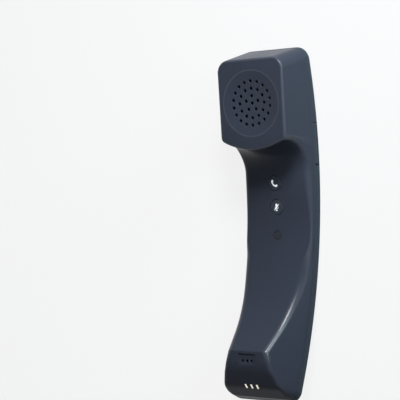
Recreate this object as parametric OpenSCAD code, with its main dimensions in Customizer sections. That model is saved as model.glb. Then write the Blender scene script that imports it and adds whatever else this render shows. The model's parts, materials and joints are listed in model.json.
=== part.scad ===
/* [Overall] */
// Width across the handset
body_w = 46; // [44:0.5:50]
// Length along the curved back, end to end
body_l = 206; // [200:1:215]
// Radius of the curved back
back_r = 297; // [270:1:340]
// Plan radius of the corners at the earpiece end
top_corner_r = 7.5; // [6:0.5:9]
// Plan radius of the corners at the mouthpiece end
foot_corner_r = 6.5; // [5.5:0.5:8]
// Thickness of both shells
wall = 1.8; // [1.5:0.1:2]
// Place along the back that touches the table, from mid length
rest_s = 10.5; // [-10:0.5:20]

/* [Outer cover] */
// Height of the cover's side band, up to the seam
seam_h = 4.6; // [4.4:0.1:5.2]
// Radius of the cover's outer edge
cover_edge_r = 1.2; // [0.8:0.1:1.6]
// Width of the groove that shows at the seam
seam_gap = 0.3; // [0.2:0.05:0.4]
// Height of the inner lip above the seam
lip_rise = 1.5; // [1:0.1:2]
// Thickness of the inner lip
lip_t = 1; // [0.8:0.1:1.2]

/* [Earpiece block] */
// Length of the block along the back, top end to lower face edge
block_l = 50.8; // [50:0.2:54]
// Height of the face at the top end
face_top_h = 27.9; // [26:0.1:30]
// Height of the face at its lower edge
face_low_h = 33.4; // [32:0.1:35]
// How far the lower edge bulges at mid width
face_bulge = 5.6; // [4:0.1:7]
// Radius of the face's edges
face_edge_r = 1.4; // [1:0.1:1.8]
// Radius of the scoop under the block
scoop_r = 20; // [17:0.5:21]
// Draft of the side walls in degrees
side_draft = 2; // [1:0.5:3]

/* [Earpiece dish] */
// Distance from the top end to the dish centre, along the face
dish_drop = 25; // [24:0.2:26]
// Width of the rim between the dish and the block's sides
dish_rim = 4.2; // [3.6:0.1:5]
// Depth of the dish
dish_depth = 1.5; // [1:0.1:2]
// Plastic left behind the dish
grille_t = 1.6; // [1.2:0.1:2]
// Radius of one sound hole
sound_hole_r = 0.95; // [0.7:0.05:1.1]
// Distance from the outer ring of holes to the speaker's rim
sound_rim = 3.75; // [3.2:0.05:4.2]
// Holes on each ring, from the middle out
sound_ring_holes = [1, 5, 12, 18];

/* [Handle] */
// Height of the handle's crown where it is thinnest
handle_h = 10.7; // [10.4:0.1:11.6]
// Radius of the handle's crown line
bow_r = 90; // [80:1:100]
// Height at which the side walls begin to turn in
shoulder_h = 6.5; // [6.2:0.1:7]
// Radius of the handle's long edges
handle_edge_r = 4.3; // [3:0.1:5]

/* [Mouthpiece chin] */
// Length of the chin face along the back
chin_l = 22.2; // [20:0.2:24]
// Height of the chin at its top edge
chin_h = 28.6; // [27:0.1:30]
// Width of the chin at its top edge
chin_w = 25.8; // [24:0.2:28]
// Height of the chin's foot
foot_h = 7.3; // [6.9:0.1:8]
// Radius of the chin's sharp edges
chin_edge_r = 1; // [0.6:0.1:1.4]
// Length of the side facets that run up the handle
facet_l = 61; // [50:1:70]

/* [Keys] */
// Radius of the round keys
key_r = 4.3; // [3.8:0.1:4.8]
// Gap round each key
key_gap = 0.25; // [0.2:0.05:0.35]
// Travel of the round keys
key_travel = 0.4; // [0.3:0.05:0.5]
// Distance from the lower face edge to the call key
call_drop = 27.6; // [26:0.2:30]
// Distance between the call and mute keys
key_pitch = 14.4; // [13:0.2:16]
// Distance from the mute key to the sensor window
sensor_drop = 16.8; // [15:0.2:18]
// Radius of the sensor window
sensor_r = 2.55; // [2.2:0.05:3]

/* [Volume rocker] */
// Length of the rocker
rocker_l = 24; // [22:0.5:26]
// Gap at the ends of the rocker
rocker_gap = 0.3; // [0.25:0.05:0.4]
// Distance from the top end to the middle of the rocker
rocker_drop = 56; // [54:0.5:60]

/* [Lights] */
// Radius of the round light
link_light_r = 2.1; // [1.6:0.1:2.4]
// Distance from the top end to the round light
link_light_drop = 14; // [13:0.5:16]
// Distance between the round light and the bar light
light_pitch = 9; // [8:0.5:10]
// Length of the bar light
bar_light_l = 4.5; // [3:0.1:5]
// Width of the bar light
bar_light_w = 1.1; // [0.8:0.1:1.4]

/* [Chin details] */
// Distance from the foot to the charging contacts
contact_rise = 3.6; // [3.2:0.1:4.2]
// Spacing of the charging contacts
contact_pitch = 3.8; // [3.4:0.1:4.4]
// Width of a charging contact
contact_w = 1.2; // [1:0.1:1.4]
// Length of a charging contact
contact_l = 3; // [2.6:0.1:3.4]
// Distance from the foot to the microphone holes
mic_rise = 16.5; // [15.5:0.1:17.5]
// Spacing of the microphone holes
mic_pitch = 3; // [2.6:0.1:3.4]
// Radius of a microphone hole
mic_hole_r = 0.85; // [0.6:0.05:1]
// Width of the recess round the microphone holes
recess_w = 11.5; // [10:0.5:13]
// Length of the recess
recess_l = 8; // [7:0.5:9]
// Depth of the recess at its upper end
recess_depth = 0.8; // [0.5:0.1:1]

/* [Inside] */
// Thickness of the circuit boards
board_t = 1; // [0.8:0.1:1.2]
// Length of the main board
main_board_l = 58; // [54:1:60]
// Length of the radio board
radio_board_l = 34; // [30:1:36]
// Space between the main board and the battery
battery_gap = 3.2; // [3:0.1:5]
// Space between the battery and the chin's top edge
chin_gap = 10.8; // [8:0.2:16]
// Clearance over the battery
battery_clear = 1; // [0.6:0.1:1.4]
// Space between the speaker and the side walls
speaker_gap = 5; // [4.8:0.1:5.6]
// Width of the speaker's cone ring round the magnet
cone_w = 6.2; // [5.2:0.1:7]
// Radius of a screw's thread
screw_r = 0.8; // [0.7:0.05:0.9]
// Running and fitting clearance
fit = 0.1; // [0.05:0.01:0.15]

/* [Hidden] */
$fn = 48;

half_l = body_l / 2;
half_w = body_w / 2;
side_slope = tan(side_draft);
dish_r = half_w - dish_rim;
speaker_r = half_w - wall - speaker_gap;
magnet_r = speaker_r - cone_w;
sound_ring_pitch = (speaker_r - sound_rim) / (len(sound_ring_holes) - 1);

// Arc coordinates: s runs along the back, h is the height inward from the back's surface.
function bend(s) = (s - rest_s) / back_r * 180 / PI;
mid_y = (back_r - cover_edge_r) * (sin(bend(half_l)) + sin(bend(-half_l))) / 2;
function pt(x, s, h) =
    [x, (back_r - h) * sin(bend(s)) - mid_y, back_r - (back_r - h) * cos(bend(s))];
function s_of(p) = rest_s + atan2(p.y + mid_y, back_r - p.z) * PI / 180 * back_r;
function h_of(p) = back_r - norm([p.y + mid_y, back_r - p.z]);

function unit(v) = v / norm(v);
function mix(a, b, f) = a + (b - a) * f;
function step01(f) = let (g = max(0, min(1, f))) g * g * (3 - 2 * g);
function left_of(d) = [0, -d.z, d.y];
function last(v) = v[len(v) - 1];
function mirrored(p) = [-p.x, p.y, p.z];
function reversed(v) = [for (k = [len(v) - 1:-1:0]) v[k]];

// Points of an arc of radius r that rounds the corner a, p, b in n steps.
function corner_arc(a, p, b, r, n) =
    r == 0 ? [p] :
    let (
        u = unit(a - p),
        v = unit(b - p),
        inner = acos(u * v),
        centre = p + unit(u + v) * r / sin(inner / 2),
        setback = r / tan(inner / 2),
        from = (p + u * setback - centre) / r,
        to = (p + v * setback - centre) / r,
        turn = 180 - inner
    )
    [for (k = [0:n]) centre + r * (sin((1 - k / n) * turn) * from + sin(k / n * turn) * to) / sin(turn)];

function ease(f, power) = power > 0 ? pow(f, power) : 1 - pow(1 - f, -power);

// A line through rounded corners. Each key is [corner, radius, arc steps, steps to next, spacing power].
function corners_of(keys, from, to) =
    [for (k = [0:len(keys) - 1])
        corner_arc(
            k == 0 ? from : keys[k - 1][0], keys[k][0],
            k == len(keys) - 1 ? to : keys[k + 1][0], keys[k][1], keys[k][2])];
function rounded_line(keys, from, to) =
    let (arcs = corners_of(keys, from, to))
    [for (k = [0:len(keys) - 1])
        each concat(
            arcs[k],
            k == len(keys) - 1 || keys[k][3] < 2 ? [] :
                [for (j = [1:keys[k][3] - 1])
                    mix(last(arcs[k]), arcs[k + 1][0], ease(j / keys[k][3], keys[k][4]))])];

// The same keys moved inward by t, with each corner's radius to suit.
function inset_keys(keys, from, to, t) =
    [for (k = [0:len(keys) - 1])
        let (
            a = k == 0 ? from : keys[k - 1][0],
            b = k == len(keys) - 1 ? to : keys[k + 1][0],
            d1 = unit(keys[k][0] - a),
            d2 = unit(b - keys[k][0]),
            n1 = left_of(d1),
            n2 = left_of(d2),
            turn = d1.y * d2.z - d1.z * d2.y,
            r = keys[k][1]
        )
        [keys[k][0] + t * (n1 + n2) / (1 + n1 * n2),
            r == 0 ? 0 : turn > 0 ? max(r - t, r * 0.25) : r + t,
            keys[k][2], keys[k][3], keys[k][4]]];

// Named places along the back
edge_s = half_l - block_l;
chin_s = chin_l - half_l;
call_s = edge_s - call_drop;
mute_s = call_s - key_pitch;
sensor_s = mute_s - sensor_drop;
contact_s = contact_rise - half_l;
mic_s = mic_rise - half_l;
rocker_s = half_l - rocker_drop;
link_s = half_l - link_light_drop;
bar_s = link_s - light_pitch;

// Half width of the plan outline, t inside the outer skin
function plan(s, t) =
    let (
        hl = half_l - t,
        hw = half_w - t,
        r = (s > 0 ? top_corner_r : foot_corner_r) - t,
        past = max(0, abs(s) - (hl - r))
    )
    hw - r + sqrt(max(0, r * r - past * past));
function side_x(s, h, t) = plan(s, t) - max(0, h - seam_h) * side_slope;

// The crease runs in from the side wall to the chin's top corners and out again to the foot.
crease_inset = 2;
knee_s = chin_s - chin_l * 0.44;
knee_w = chin_w * 1.2;
function crease_x(s, t) =
    let (open = lookup(s, [
        [-half_l, half_w - crease_inset],
        [knee_s, knee_w / 2],
        [chin_s, chin_w / 2],
        [chin_s + facet_l, half_w - crease_inset],
        [chin_s + facet_l + 20, half_w + crease_inset]
    ]))
    open - t;

// Key corners of the two lines that shape the housing, in the middle plane
scoop_root_h = 12.3;
scoop_crown = 3;
edge_fall = 0.5;
bow_rise = 50;
knee_h = chin_h - 3.1;
shin_s = contact_s - 0.2;
shin_h = 17;
top_steps = 4;
face_steps = 5;
edge_steps = 4;
scoop_steps = 10;
bow_steps = 14;
top_anchor = pt(0, half_l, seam_h);
foot_anchor = pt(0, -half_l, seam_h);
face_top = pt(0, half_l, face_top_h);
face_low = pt(0, edge_s, face_low_h);
face_run = unit(face_low - face_top);
face_tilt = atan2(-face_run.z, -face_run.y);
face_plan_end = face_top + face_run * top_corner_r;
chin_top = pt(0, chin_s, chin_h);

function bow_corner(root, s, low_h) =
    let (
        first = pt(0, s, low_h - 8),
        inner = acos(unit(root - first) * unit(chin_top - first))
    )
    pt(0, s, low_h - bow_r * (1 / sin(inner / 2) - 1));
function line_keys(bulge, root_rise, fall) =
    let (
        low = face_low + face_run * bulge,
        root = pt(0, s_of(low) - 0.5, scoop_root_h + root_rise),
        bow = bow_corner(root, chin_s + bow_rise, handle_h - fall),
        inner = acos(unit(low - root) * unit(bow - root)),
        room = norm(low - root) - face_edge_r * 1.5
    )
    [
        [face_top, face_edge_r, top_steps, 4, 1.6],
        [face_plan_end, 0, 0, face_steps, 1],
        [low, face_edge_r, edge_steps, 1, 1],
        [root, min(scoop_r, room * tan(inner / 2)), scoop_steps, 2, 1],
        [bow, bow_r, bow_steps, 3, 1],
        [chin_top, chin_edge_r, 3, 2, 1],
        [pt(0, knee_s, knee_h), 18, 2, 2, 1],
        [pt(0, shin_s, shin_h), 10, 3, 5, -1.8],
        [pt(0, -half_l, foot_h), 1.5, 2, 1, 1]
    ];
crown_keys = line_keys(face_bulge, scoop_crown, 0);
crease_keys = line_keys(0, 0, edge_fall);

function anchor(p, side, t) = p + [0, -side * cos(bend(side * half_l)), -side * sin(bend(side * half_l))] * t;
function skin_line(keys, t) =
    rounded_line(
        t == 0 ? keys : inset_keys(keys, top_anchor, foot_anchor, t),
        anchor(top_anchor, 1, t), anchor(foot_anchor, -1, t));
crown = skin_line(crown_keys, 0);
crown_table = [for (p = reversed(crown)) [s_of(p), h_of(p)]];
function crown_h(s) = lookup(s, crown_table);
function crown_tilt(s) =
    let (d = pt(0, s + 1, crown_h(s + 1)) - pt(0, s - 1, crown_h(s - 1))) atan2(d.z, d.y);

// The seam points are spread evenly under the block's lower edge and its scoop.
spread_from = top_steps + 1 + 3 + 1 + face_steps - 1;
spread_to = spread_from + edge_steps + 1 + scoop_steps;
function seam_s(line, i) =
    i < spread_from || i > spread_to ? s_of(line[i]) :
    mix(s_of(line[spread_from]), s_of(line[spread_to]), (i - spread_from) / (spread_to - spread_from));

function edge_r(s) =
    mix(
        mix(chin_edge_r, handle_edge_r, step01((s - chin_s) / facet_l)),
        face_edge_r, step01((s - edge_s + scoop_r * 0.8) / (scoop_r * 0.7)));
function fold_r(s) = mix(2, 0.5, step01((s - chin_s) / facet_l));

function curve3(a, p, b, n) =
    [for (k = [0:n]) let (f = k / n) (1 - f) * (1 - f) * a + 2 * f * (1 - f) * p + f * f * b];

// Half a rib, from the seam up the side wall, over the crease and across to the crown.
// steps holds the segments of the fold, of the edge and of the top.
function half_rib(b, s, e, c, fold, edge, steps) =
    let (
        down = unit(b - s),
        up = unit(e - s),
        f = min(fold, norm(b - s) * 0.8, norm(e - s) * 0.3),
        r = min(edge, (norm(e - s) - f) * 0.9, e.x * 0.8),
        first = r / e.x
    )
    concat(
        [b],
        curve3(s + down * f, s, s + up * f, steps[0]),
        curve3(e - up * r, e, top_point(e, c, first), steps[1]),
        [for (k = [1:steps[2] - 1]) top_point(e, c, mix(first, 1, k / steps[2]))]);
function top_point(e, c, f) =
    let (g = 1 - (1 - f) * (1 - f)) [e.x * (1 - f), mix(e.y, c.y, g), mix(e.z, c.z, g)];

function housing_rib(crease, crown, i, t, steps) =
    let (
        e0 = crease[i],
        es = s_of(e0),
        eh = h_of(e0),
        ss = seam_s(crease, i),
        sh = min(shoulder_h, (seam_h + seam_gap + eh) / 2),
        b = pt(side_x(ss, seam_h, t), ss, seam_h + seam_gap),
        s = pt(side_x(ss, sh, t), ss, sh),
        e = [min(side_x(es, eh, t), crease_x(es, t)), e0.y, e0.z],
        half = half_rib(b, s, e, crown[i], max(0.3, fold_r(es) - t / 3), max(0.4, edge_r(es) - t), steps)
    )
    concat(half, [crown[i]], reversed([for (p = half) mirrored(p)]));
function housing_ribs(t, steps) =
    let (crease_line = skin_line(crease_keys, t), crown_line = skin_line(crown_keys, t))
    [for (i = [0:len(crown_line) - 1]) housing_rib(crease_line, crown_line, i, t, steps)];

// Stations along the back, dense at both ends. spread moves them, so that two skins share none.
function end_offsets(corner, edge) =
    concat(
        [for (a = [90:-22.5:0]) edge * (1 - sin(a))],
        [for (j = [1:4]) edge + (corner - edge) * ease(j / 4, 1.6)]);
cover_spans = 22;
lip_spread = 2.3;
function stations(t, spread = 0, spans = cover_spans) =
    let (
        edge = max(cover_edge_r - t, cover_edge_r / 4),
        top = [for (o = end_offsets(top_corner_r - t + spread, edge)) half_l - t - o],
        foot = [for (o = end_offsets(foot_corner_r - t + spread, edge)) o + t - half_l]
    )
    concat(
        top,
        [for (k = [1:spans - 1]) mix(last(top), last(foot), k / spans)],
        reversed(foot));
function end_lift(s, t) =
    let (
        r = max(cover_edge_r - t, cover_edge_r / 4),
        past = max(0, abs(s) - (half_l - t - r))
    )
    t + r - sqrt(max(0, r * r - past * past));
function cover_rib(s, t, steps) =
    let (
        r = max(cover_edge_r - t, cover_edge_r / 4),
        x = plan(s, t),
        low = end_lift(s, t),
        lift = min(r, seam_h - low - 0.2),
        half = concat(
            [[x, seam_h]],
            [for (k = [0:steps])
                let (a = 90 * k / steps) [x - r + r * cos(a), low + lift - lift * sin(a)]])
    )
    concat(
        [for (p = half) pt(-p[0], s, p[1])],
        reversed([for (p = half) pt(p[0], s, p[1])]));
function cover_ribs(t, steps) = [for (s = stations(t)) cover_rib(s, t, steps)];

// Triangles of a grid of n ribs with m points each, seen from outside or from inside
function grid_faces(n, m, at, outside) =
    [for (i = [0:n - 2], j = [0:m - 2])
        let (
            a = at + i * m + j,
            b = a + 1,
            c = a + m,
            d = c + 1
        )
        each outside ? [[a, c, d], [a, d, b]] : [[a, d, c], [a, b, d]]];
function fan(from, to) = [for (k = [from:to]) k];

// A closed solid inside one skin of ribs, flat from side to side at its open edge
module skin_solid(ribs) {
    n = len(ribs);
    m = len(ribs[0]);
    polyhedron(
        [for (r = ribs) each r],
        concat(
            grid_faces(n, m, 0, true),
            [fan(0, m - 1), reversed(fan((n - 1) * m, n * m - 1))],
            [for (i = [0:n - 2])
                each [
                    [i * m, i * m + m - 1, i * m + 2 * m - 1],
                    [i * m, i * m + 2 * m - 1, i * m + m]
                ]]));
}

// A shell between two skins that have the same number of ribs, open at the seam
module skin_shell(outer, inner) {
    n = len(outer);
    m = len(outer[0]);
    w = len(inner[0]);
    at = n * m;
    end = n - 1;
    polyhedron(
        concat([for (r = outer) each r], [for (r = inner) each r]),
        concat(
            grid_faces(n, m, 0, true),
            grid_faces(n, w, at, false),
            [fan(0, m - 1), reversed(fan(end * m, n * m - 1))],
            [reversed(fan(at, at + w - 1)), fan(at + end * w, at + n * w - 1)],
            [[0, m - 1, at + w - 1, at],
                [at + end * w, at + n * w - 1, n * m - 1, end * m]],
            [for (i = [0:n - 2])
                let (
                    a = i * m,
                    b = a + m,
                    c = at + i * w,
                    d = c + w
                )
                each [
                    [a, c, d], [a, d, b],
                    [c + w - 1, a + m - 1, b + m - 1], [c + w - 1, b + m - 1, d + w - 1]
                ]]));
}

// A wall that follows the plan outline. Its section is a list of [distance inside the skin, height].
module plan_wall(section) {
    loops = [for (q = section)
        let (line = stations(q[0], lip_spread, cover_spans - 1))
        concat(
            [for (s = line) pt(plan(s, q[0]), s, q[1])],
            [for (s = reversed(line)) pt(-plan(s, q[0]), s, q[1])])];
    n = len(loops[0]);
    m = len(section);
    polyhedron(
        [for (l = loops) each l],
        [for (k = [0:m - 1], i = [0:n - 1])
            let (
                a = k * n + i,
                b = k * n + (i + 1) % n,
                c = (k + 1) % m * n + i,
                d = (k + 1) % m * n + (i + 1) % n
            )
            each [[a, b, d], [a, d, c]]]);
}

// Local frames: on the arc, on the crown line, on the face and on the boards
module at_arc(s, h = 0, x = 0) translate(pt(x, s, h)) rotate([bend(s), 0, 0]) children();
module at_crown(s) translate(pt(0, s, crown_h(s))) rotate([crown_tilt(s), 0, 0]) children();
module at_face() translate(face_top + face_run * dish_drop) rotate([face_tilt, 0, 0]) children();

outer_steps = [2, 4, 4];
inner_steps = [1, 2, 3];
housing_outer = housing_ribs(0, outer_steps);
housing_inner = housing_ribs(wall, inner_steps);
housing_middle = housing_ribs(wall / 2, inner_steps);
module in_housing_wall() intersection() {
    skin_solid(housing_middle);
    children();
}
module in_cover_wall() intersection() {
    skin_solid(cover_ribs(wall / 2, 1));
    children();
}

// Colours
housing_colour = "#3b414b";
cover_colour = "#5a6670";
key_colour = "#333840";
board_colour = "#1f5a3a";
steel_colour = "#b8bcc0";
black = "#1b1c1e";

// Boards, battery and what they sit on
board_side_gap = 8;
board_clear = 0.2;
socket_t = 1;
socket_inset = 3;
flex_t = 0.2;
flex_w = 8;
flex_clear = 0.05;
// How far the curved back rises over the ends of a flat piece of length l
function sag(l) = back_r - sqrt(back_r * back_r - l * l / 4);
// Height under the crown that a flat piece of length l finds on a frame at s
function room_at(s, l) = min([for (f = [-0.5:0.125:0.5]) crown_h(s + l * f) + sag(2 * l * f)]);
main_board_h = wall + sag(main_board_l) + socket_t + flex_t + board_clear;
main_board_w = body_w - 2 * board_side_gap;
main_s = mute_s + 2;
radio_board_h = wall + 2.4;
radio_board_w = body_w - 2 * (board_side_gap - 1);
radio_s = (link_s + bar_s) / 2 - 2;
pad_t = 0.5;
pad_inset = 1;
battery_top_s = main_s - main_board_l / 2 - battery_gap;
battery_l = battery_top_s - chin_s - chin_gap;
battery_s = battery_top_s - battery_l / 2;
battery_w = body_w - 12;
battery_h = wall + sag(battery_l) + pad_t + flex_t + flex_clear + 0.1;
battery_t = room_at(battery_s, battery_l) - wall - battery_h - battery_clear;
post_r = 1.8;
post_inset = 3;
screw_hole_r = screw_r + fit / 2;
screw_head_r = 1.6;
screw_head_t = 1;
screw_l = 5;
main_post_y = main_board_l / 2 - 5;
battery_socket_w = 7;
lead_x = main_board_w / 2 - post_inset - post_r - battery_socket_w / 2 - 4 * fit;

function frame_point(origin, tilt, y, z) =
    origin + [0, y * cos(tilt) - z * sin(tilt), y * sin(tilt) + z * cos(tilt)];
function arc_point(s, h, y, z) = frame_point(pt(0, s, h), bend(s), y, z);
function crown_point(s, y, z) = frame_point(pt(0, s, crown_h(s)), crown_tilt(s), y, z);

// Keys: the plunger ends just above its switch, measured square to the main board.
switch_h = 1.6;
switch_w = 4.6;
button_h = 0.5;
button_r = 1.3;
key_flange = 0.9;
key_flange_t = 0.8;
plunger_r = 1.5;
function board_out() = [0, -sin(bend(main_s)), cos(bend(main_s))];
function board_run() = [0, cos(bend(main_s)), sin(bend(main_s))];
function key_out(s) = [0, -sin(crown_tilt(s)), cos(crown_tilt(s))];
function press_gap(s) = 0.1 + plunger_r * abs(sin(crown_tilt(s) - bend(main_s)));
function plunger_l(s) =
    ((pt(0, s, crown_h(s)) - pt(0, main_s, main_board_h)) * board_out()
        - (board_t + switch_h + button_h + key_travel + press_gap(s))) / (key_out(s) * board_out());
function switch_y(s) =
    (pt(0, s, crown_h(s)) - key_out(s) * plunger_l(s) - pt(0, main_s, main_board_h)) * board_run();

// Speaker stack, measured inward from the face
grille_back = -(dish_depth + grille_t);
mesh_t = 0.25;
gasket_t = 1;
frame_front = grille_back - gasket_t;
flange_t = 1.2;
frame_depth = 7.5;
magnet_t = 3.5;
clamp_t = 1.2;
clamp_ring = speaker_r + 3.1;
clamp_angles = [30, 150, 270];
hook_r = 2.5;
hook_t = 3;
hook_x = -(half_w - wall - 6.3);
hook_y = dish_drop - wall - 4.7;

// Volume rocker, in its own frame on the arc
rocker_low = 1.3;
rocker_high = seam_h - 0.3;
flange_x = half_w - wall - 0.4;
flange_wide = 0.9;
nub_x = flange_x - flange_wide;
nub_rise = 0.25;
rocker_switch_y = rocker_l / 3;
side_switch_t = 1.4;
volume_board_x = nub_x - nub_rise - 0.35 - side_switch_t;
pivot_r = 0.5;
pivot_x = volume_board_x + 0.3 + pivot_r;
rocker_back_x = flange_x - 0.4;
volume_board_t = 0.8;
volume_board_half = rocker_l / 2 + 1.2;

// Chin details, in frames on the crown line
board_stand = 1.4;
contact_back = -(wall + board_stand);
contact_board_w = 24;
contact_board_l = 6.4;
stake_x = contact_board_w / 2 - 2.4;
stake_r = 0.8;
contact_proud = 0.12;
recess_tilt = atan(recess_depth / recess_l);
mic_seat = -(recess_depth + 1.4);
boot_w = 12;
boot_l = 6;
boot_t = 3.6;
capsule_r = 2.4;
capsule_t = 2.2;

module plate(l, w, t, r) linear_extrude(t) {
    square([w, l - 2 * r], center = true);
    square([w - 2 * r, l], center = true);
    for (x = [-1, 1], y = [-1, 1]) translate([x * (w / 2 - r), y * (l / 2 - r)]) circle(r);
}
module block(x, y, z) translate([-x / 2, -y / 2, 0]) cube([x, y, z]);
module across(w) rotate([90, 0, 90]) linear_extrude(w, center = true) children();

// A flat strip of width w that follows a path in the middle plane, t thick below the path
function below_path(path, t) =
    [for (k = [0:len(path) - 1])
        let (
            d1 = unit(k == 0 ? path[1] - path[0] : path[k] - path[k - 1]),
            d2 = unit(k == len(path) - 1 ? path[k] - path[k - 1] : path[k + 1] - path[k]),
            n1 = left_of(d1),
            n2 = left_of(d2)
        )
        path[k] - t * (n1 + n2) / (1 + n1 * n2)];
module ribbon(path, t, w) across(w)
    polygon([for (p = concat(path, reversed(below_path(path, t)))) [p.y, p.z]]);

module at_main_board(y = 0, z = 0) at_arc(main_s, main_board_h) translate([0, y, z]) children();
module at_radio_board(y = 0, z = 0) at_arc(radio_s, radio_board_h) translate([0, y, z]) children();
module main_posts() at_main_board()
    for (x = [-1, 1], y = [-1, 1])
        translate([x * (main_board_w / 2 - post_inset), y * main_post_y, 0]) children();
module radio_posts() at_radio_board()
    for (x = [-1, 1], y = [-1, 1])
        translate([x * (radio_board_w / 2 - post_inset), y * (radio_board_l / 2 - post_inset), 0])
            children();
module clamp_places() at_face()
    for (a = clamp_angles) rotate([0, 0, a]) translate([clamp_ring, 0, 0]) children();

// The long back shell with its side band, lip, light windows and rocker notch
module outer_cover() color(cover_colour) difference() {
    union() {
        skin_shell(cover_ribs(0, 4), cover_ribs(wall, 1));
        plan_wall([
            [wall / 2, seam_h - 2.2], [wall / 2, seam_h - 0.5], [wall + fit, seam_h - 0.5],
            [wall + fit, seam_h + lip_rise], [wall + fit + lip_t, seam_h + lip_rise],
            [wall + fit + lip_t, seam_h - 2.2]]);
        in_cover_wall() {
            radio_posts() translate([0, 0, -radio_board_h]) cylinder(h = radio_board_h, r = post_r);
            battery_ribs();
            volume_board_posts();
        }
    }
    radio_posts() translate([0, 0, -1.6]) cylinder(h = 4, r = screw_hole_r);
    at_arc(link_s) translate([0, 0, -1]) cylinder(h = wall + 2, r = link_light_r + fit);
    at_arc(bar_s) translate([0, 0, -1]) bar(fit, wall + 2);
    rocker_notch();
}
module battery_ribs() at_arc(battery_s, battery_h)
    for (x = [-1, 1], y = [-1, 1])
        translate([x * (battery_w / 4 + flex_w / 4), y * battery_l / 3, -battery_h - pad_t])
            block(battery_w / 2 - flex_w / 2 - 3, 1.2, battery_h);
module volume_board_posts() at_arc(rocker_s)
    for (y = [-1, 1])
        difference() {
            translate([volume_board_x - volume_board_t / 2, y * (volume_board_half + 0.5), 0])
                block(2.8, 2, seam_h);
            translate([volume_board_x - volume_board_t / 2, y * (volume_board_half - 1), wall + 0.4])
                block(volume_board_t + 2 * fit, 2 + 2 * fit, seam_h);
        }
module rocker_notch() at_arc(rocker_s) {
    translate([rocker_back_x - rocker_gap, -rocker_l / 2 - rocker_gap, rocker_low - rocker_gap])
        cube([half_w - rocker_back_x + 1, rocker_l + 2 * rocker_gap, seam_h]);
    translate([volume_board_x + 1, -volume_board_half - 1.4, wall + 0.5])
        cube([half_w - wall - volume_board_x - 1, 2 * volume_board_half + 2.8, seam_h + lip_rise]);
}

// The inner shell: earpiece block, scoop, handle and chin in one moulding
module inner_housing() color(housing_colour) difference() {
    union() {
        skin_shell(housing_outer, housing_inner);
        in_housing_wall() housing_bosses();
    }
    at_face() {
        dish();
        sound_holes();
    }
    clamp_places() translate([0, 0, frame_front - flange_t - 1]) cylinder(h = 4.5, r = screw_hole_r);
    main_posts() translate([0, 0, board_t - 1]) cylinder(h = screw_l, r = screw_hole_r);
    for (s = [call_s, mute_s]) at_crown(s) translate([0, 0, -wall - 3]) cylinder(h = wall + 6, r = key_r + key_gap);
    at_crown(sensor_s) translate([0, 0, -wall - 3]) cylinder(h = wall + 6, r = sensor_r + fit);
    at_crown(mic_s) {
        translate([0, -recess_l / 2, 0]) rotate([-recess_tilt, 0, 0]) translate([0, recess_l / 2, 0])
            block(recess_w, recess_l, 4);
        for (k = [-1:1]) translate([k * mic_pitch, 0, -6]) cylinder(h = 8, r = mic_hole_r);
    }
    at_crown(contact_s)
        for (k = [-1:1])
            translate([k * contact_pitch, 0, contact_back]) block(contact_w + 2 * fit, contact_l + 2 * fit, 8);
}
module housing_bosses() {
    at_face() {
        translate([0, 0, grille_back]) cylinder(h = dish_depth + grille_t, r = dish_r + 1);
        translate([0, 0, frame_front - flange_t]) difference() {
            cylinder(h = gasket_t + flange_t + grille_t, r = speaker_r + 1.2);
            translate([0, 0, -1]) cylinder(h = gasket_t + flange_t + 1, r = speaker_r + fit);
        }
        translate([hook_x, hook_y, -wall - hook_t]) difference() {
            cylinder(h = wall + hook_t, r = hook_r + 1);
            translate([0, 0, -1]) cylinder(h = hook_t + 1, r = hook_r + fit);
        }
    }
    clamp_places() translate([0, 0, frame_front - flange_t])
        cylinder(h = flange_t + gasket_t + dish_depth + grille_t, r = post_r);
    main_posts() translate([0, 0, board_t]) cylinder(h = scoop_r, r = post_r);
    at_crown(mic_s) {
        translate([0, 0, mic_seat]) block(recess_w + 2, recess_l + 1, -mic_seat);
        translate([0, 0, mic_seat - boot_t * 0.7]) difference() {
            block(boot_w + 2, boot_l + 2, boot_t + 1);
            translate([0, 0, -1]) block(boot_w + 2 * fit, boot_l + 2 * fit, boot_t * 0.7 + 1);
        }
    }
    at_crown(contact_s)
        for (x = [-1, 1])
            translate([x * stake_x, 0, 0]) {
                translate([0, 0, contact_back]) cylinder(h = -contact_back, r = stake_r + 0.7);
                translate([0, 0, contact_back - board_t - 0.5]) cylinder(h = board_t + 1, r = stake_r);
            }
}
module dish() {
    ball_r = (dish_r * dish_r + dish_depth * dish_depth) / (2 * dish_depth);
    translate([0, 0, ball_r - dish_depth]) sphere(ball_r, $fn = 96);
}
module sound_holes()
    for (ring = [0:len(sound_ring_holes) - 1], k = [0:sound_ring_holes[ring] - 1])
        rotate([0, 0, 90 + 360 * k / sound_ring_holes[ring]])
            translate([ring * sound_ring_pitch, 0, grille_back - 1])
                cylinder(h = -grille_back + 2, r = sound_hole_r, $fn = 24);

// Round keys: cap, flange behind the wall and plunger down to the switch
module round_key(s) color(key_colour) at_crown(s) {
    back = -wall - 0.3;
    rotate_extrude() polygon([
        [0, 0], [key_r - 1.2, 0.12], [key_r - 0.35, 0.05], [key_r, -0.3], [key_r, back],
        [key_r + key_flange, back], [key_r + key_flange, back - key_flange_t],
        [plunger_r, back - key_flange_t], [plunger_r, -plunger_l(s)], [0, -plunger_l(s)]]);
}
module call_key() round_key(call_s);
module mute_key() round_key(mute_s);

module sensor_window() color(black) at_crown(sensor_s) {
    back = -wall - fit;
    rotate_extrude() polygon([
        [0, 0], [sensor_r - 0.3, 0], [sensor_r, -0.3], [sensor_r, back], [sensor_r + 0.9, back],
        [sensor_r + 0.9, back - 0.8], [0, back - 0.8]]);
}

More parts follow.
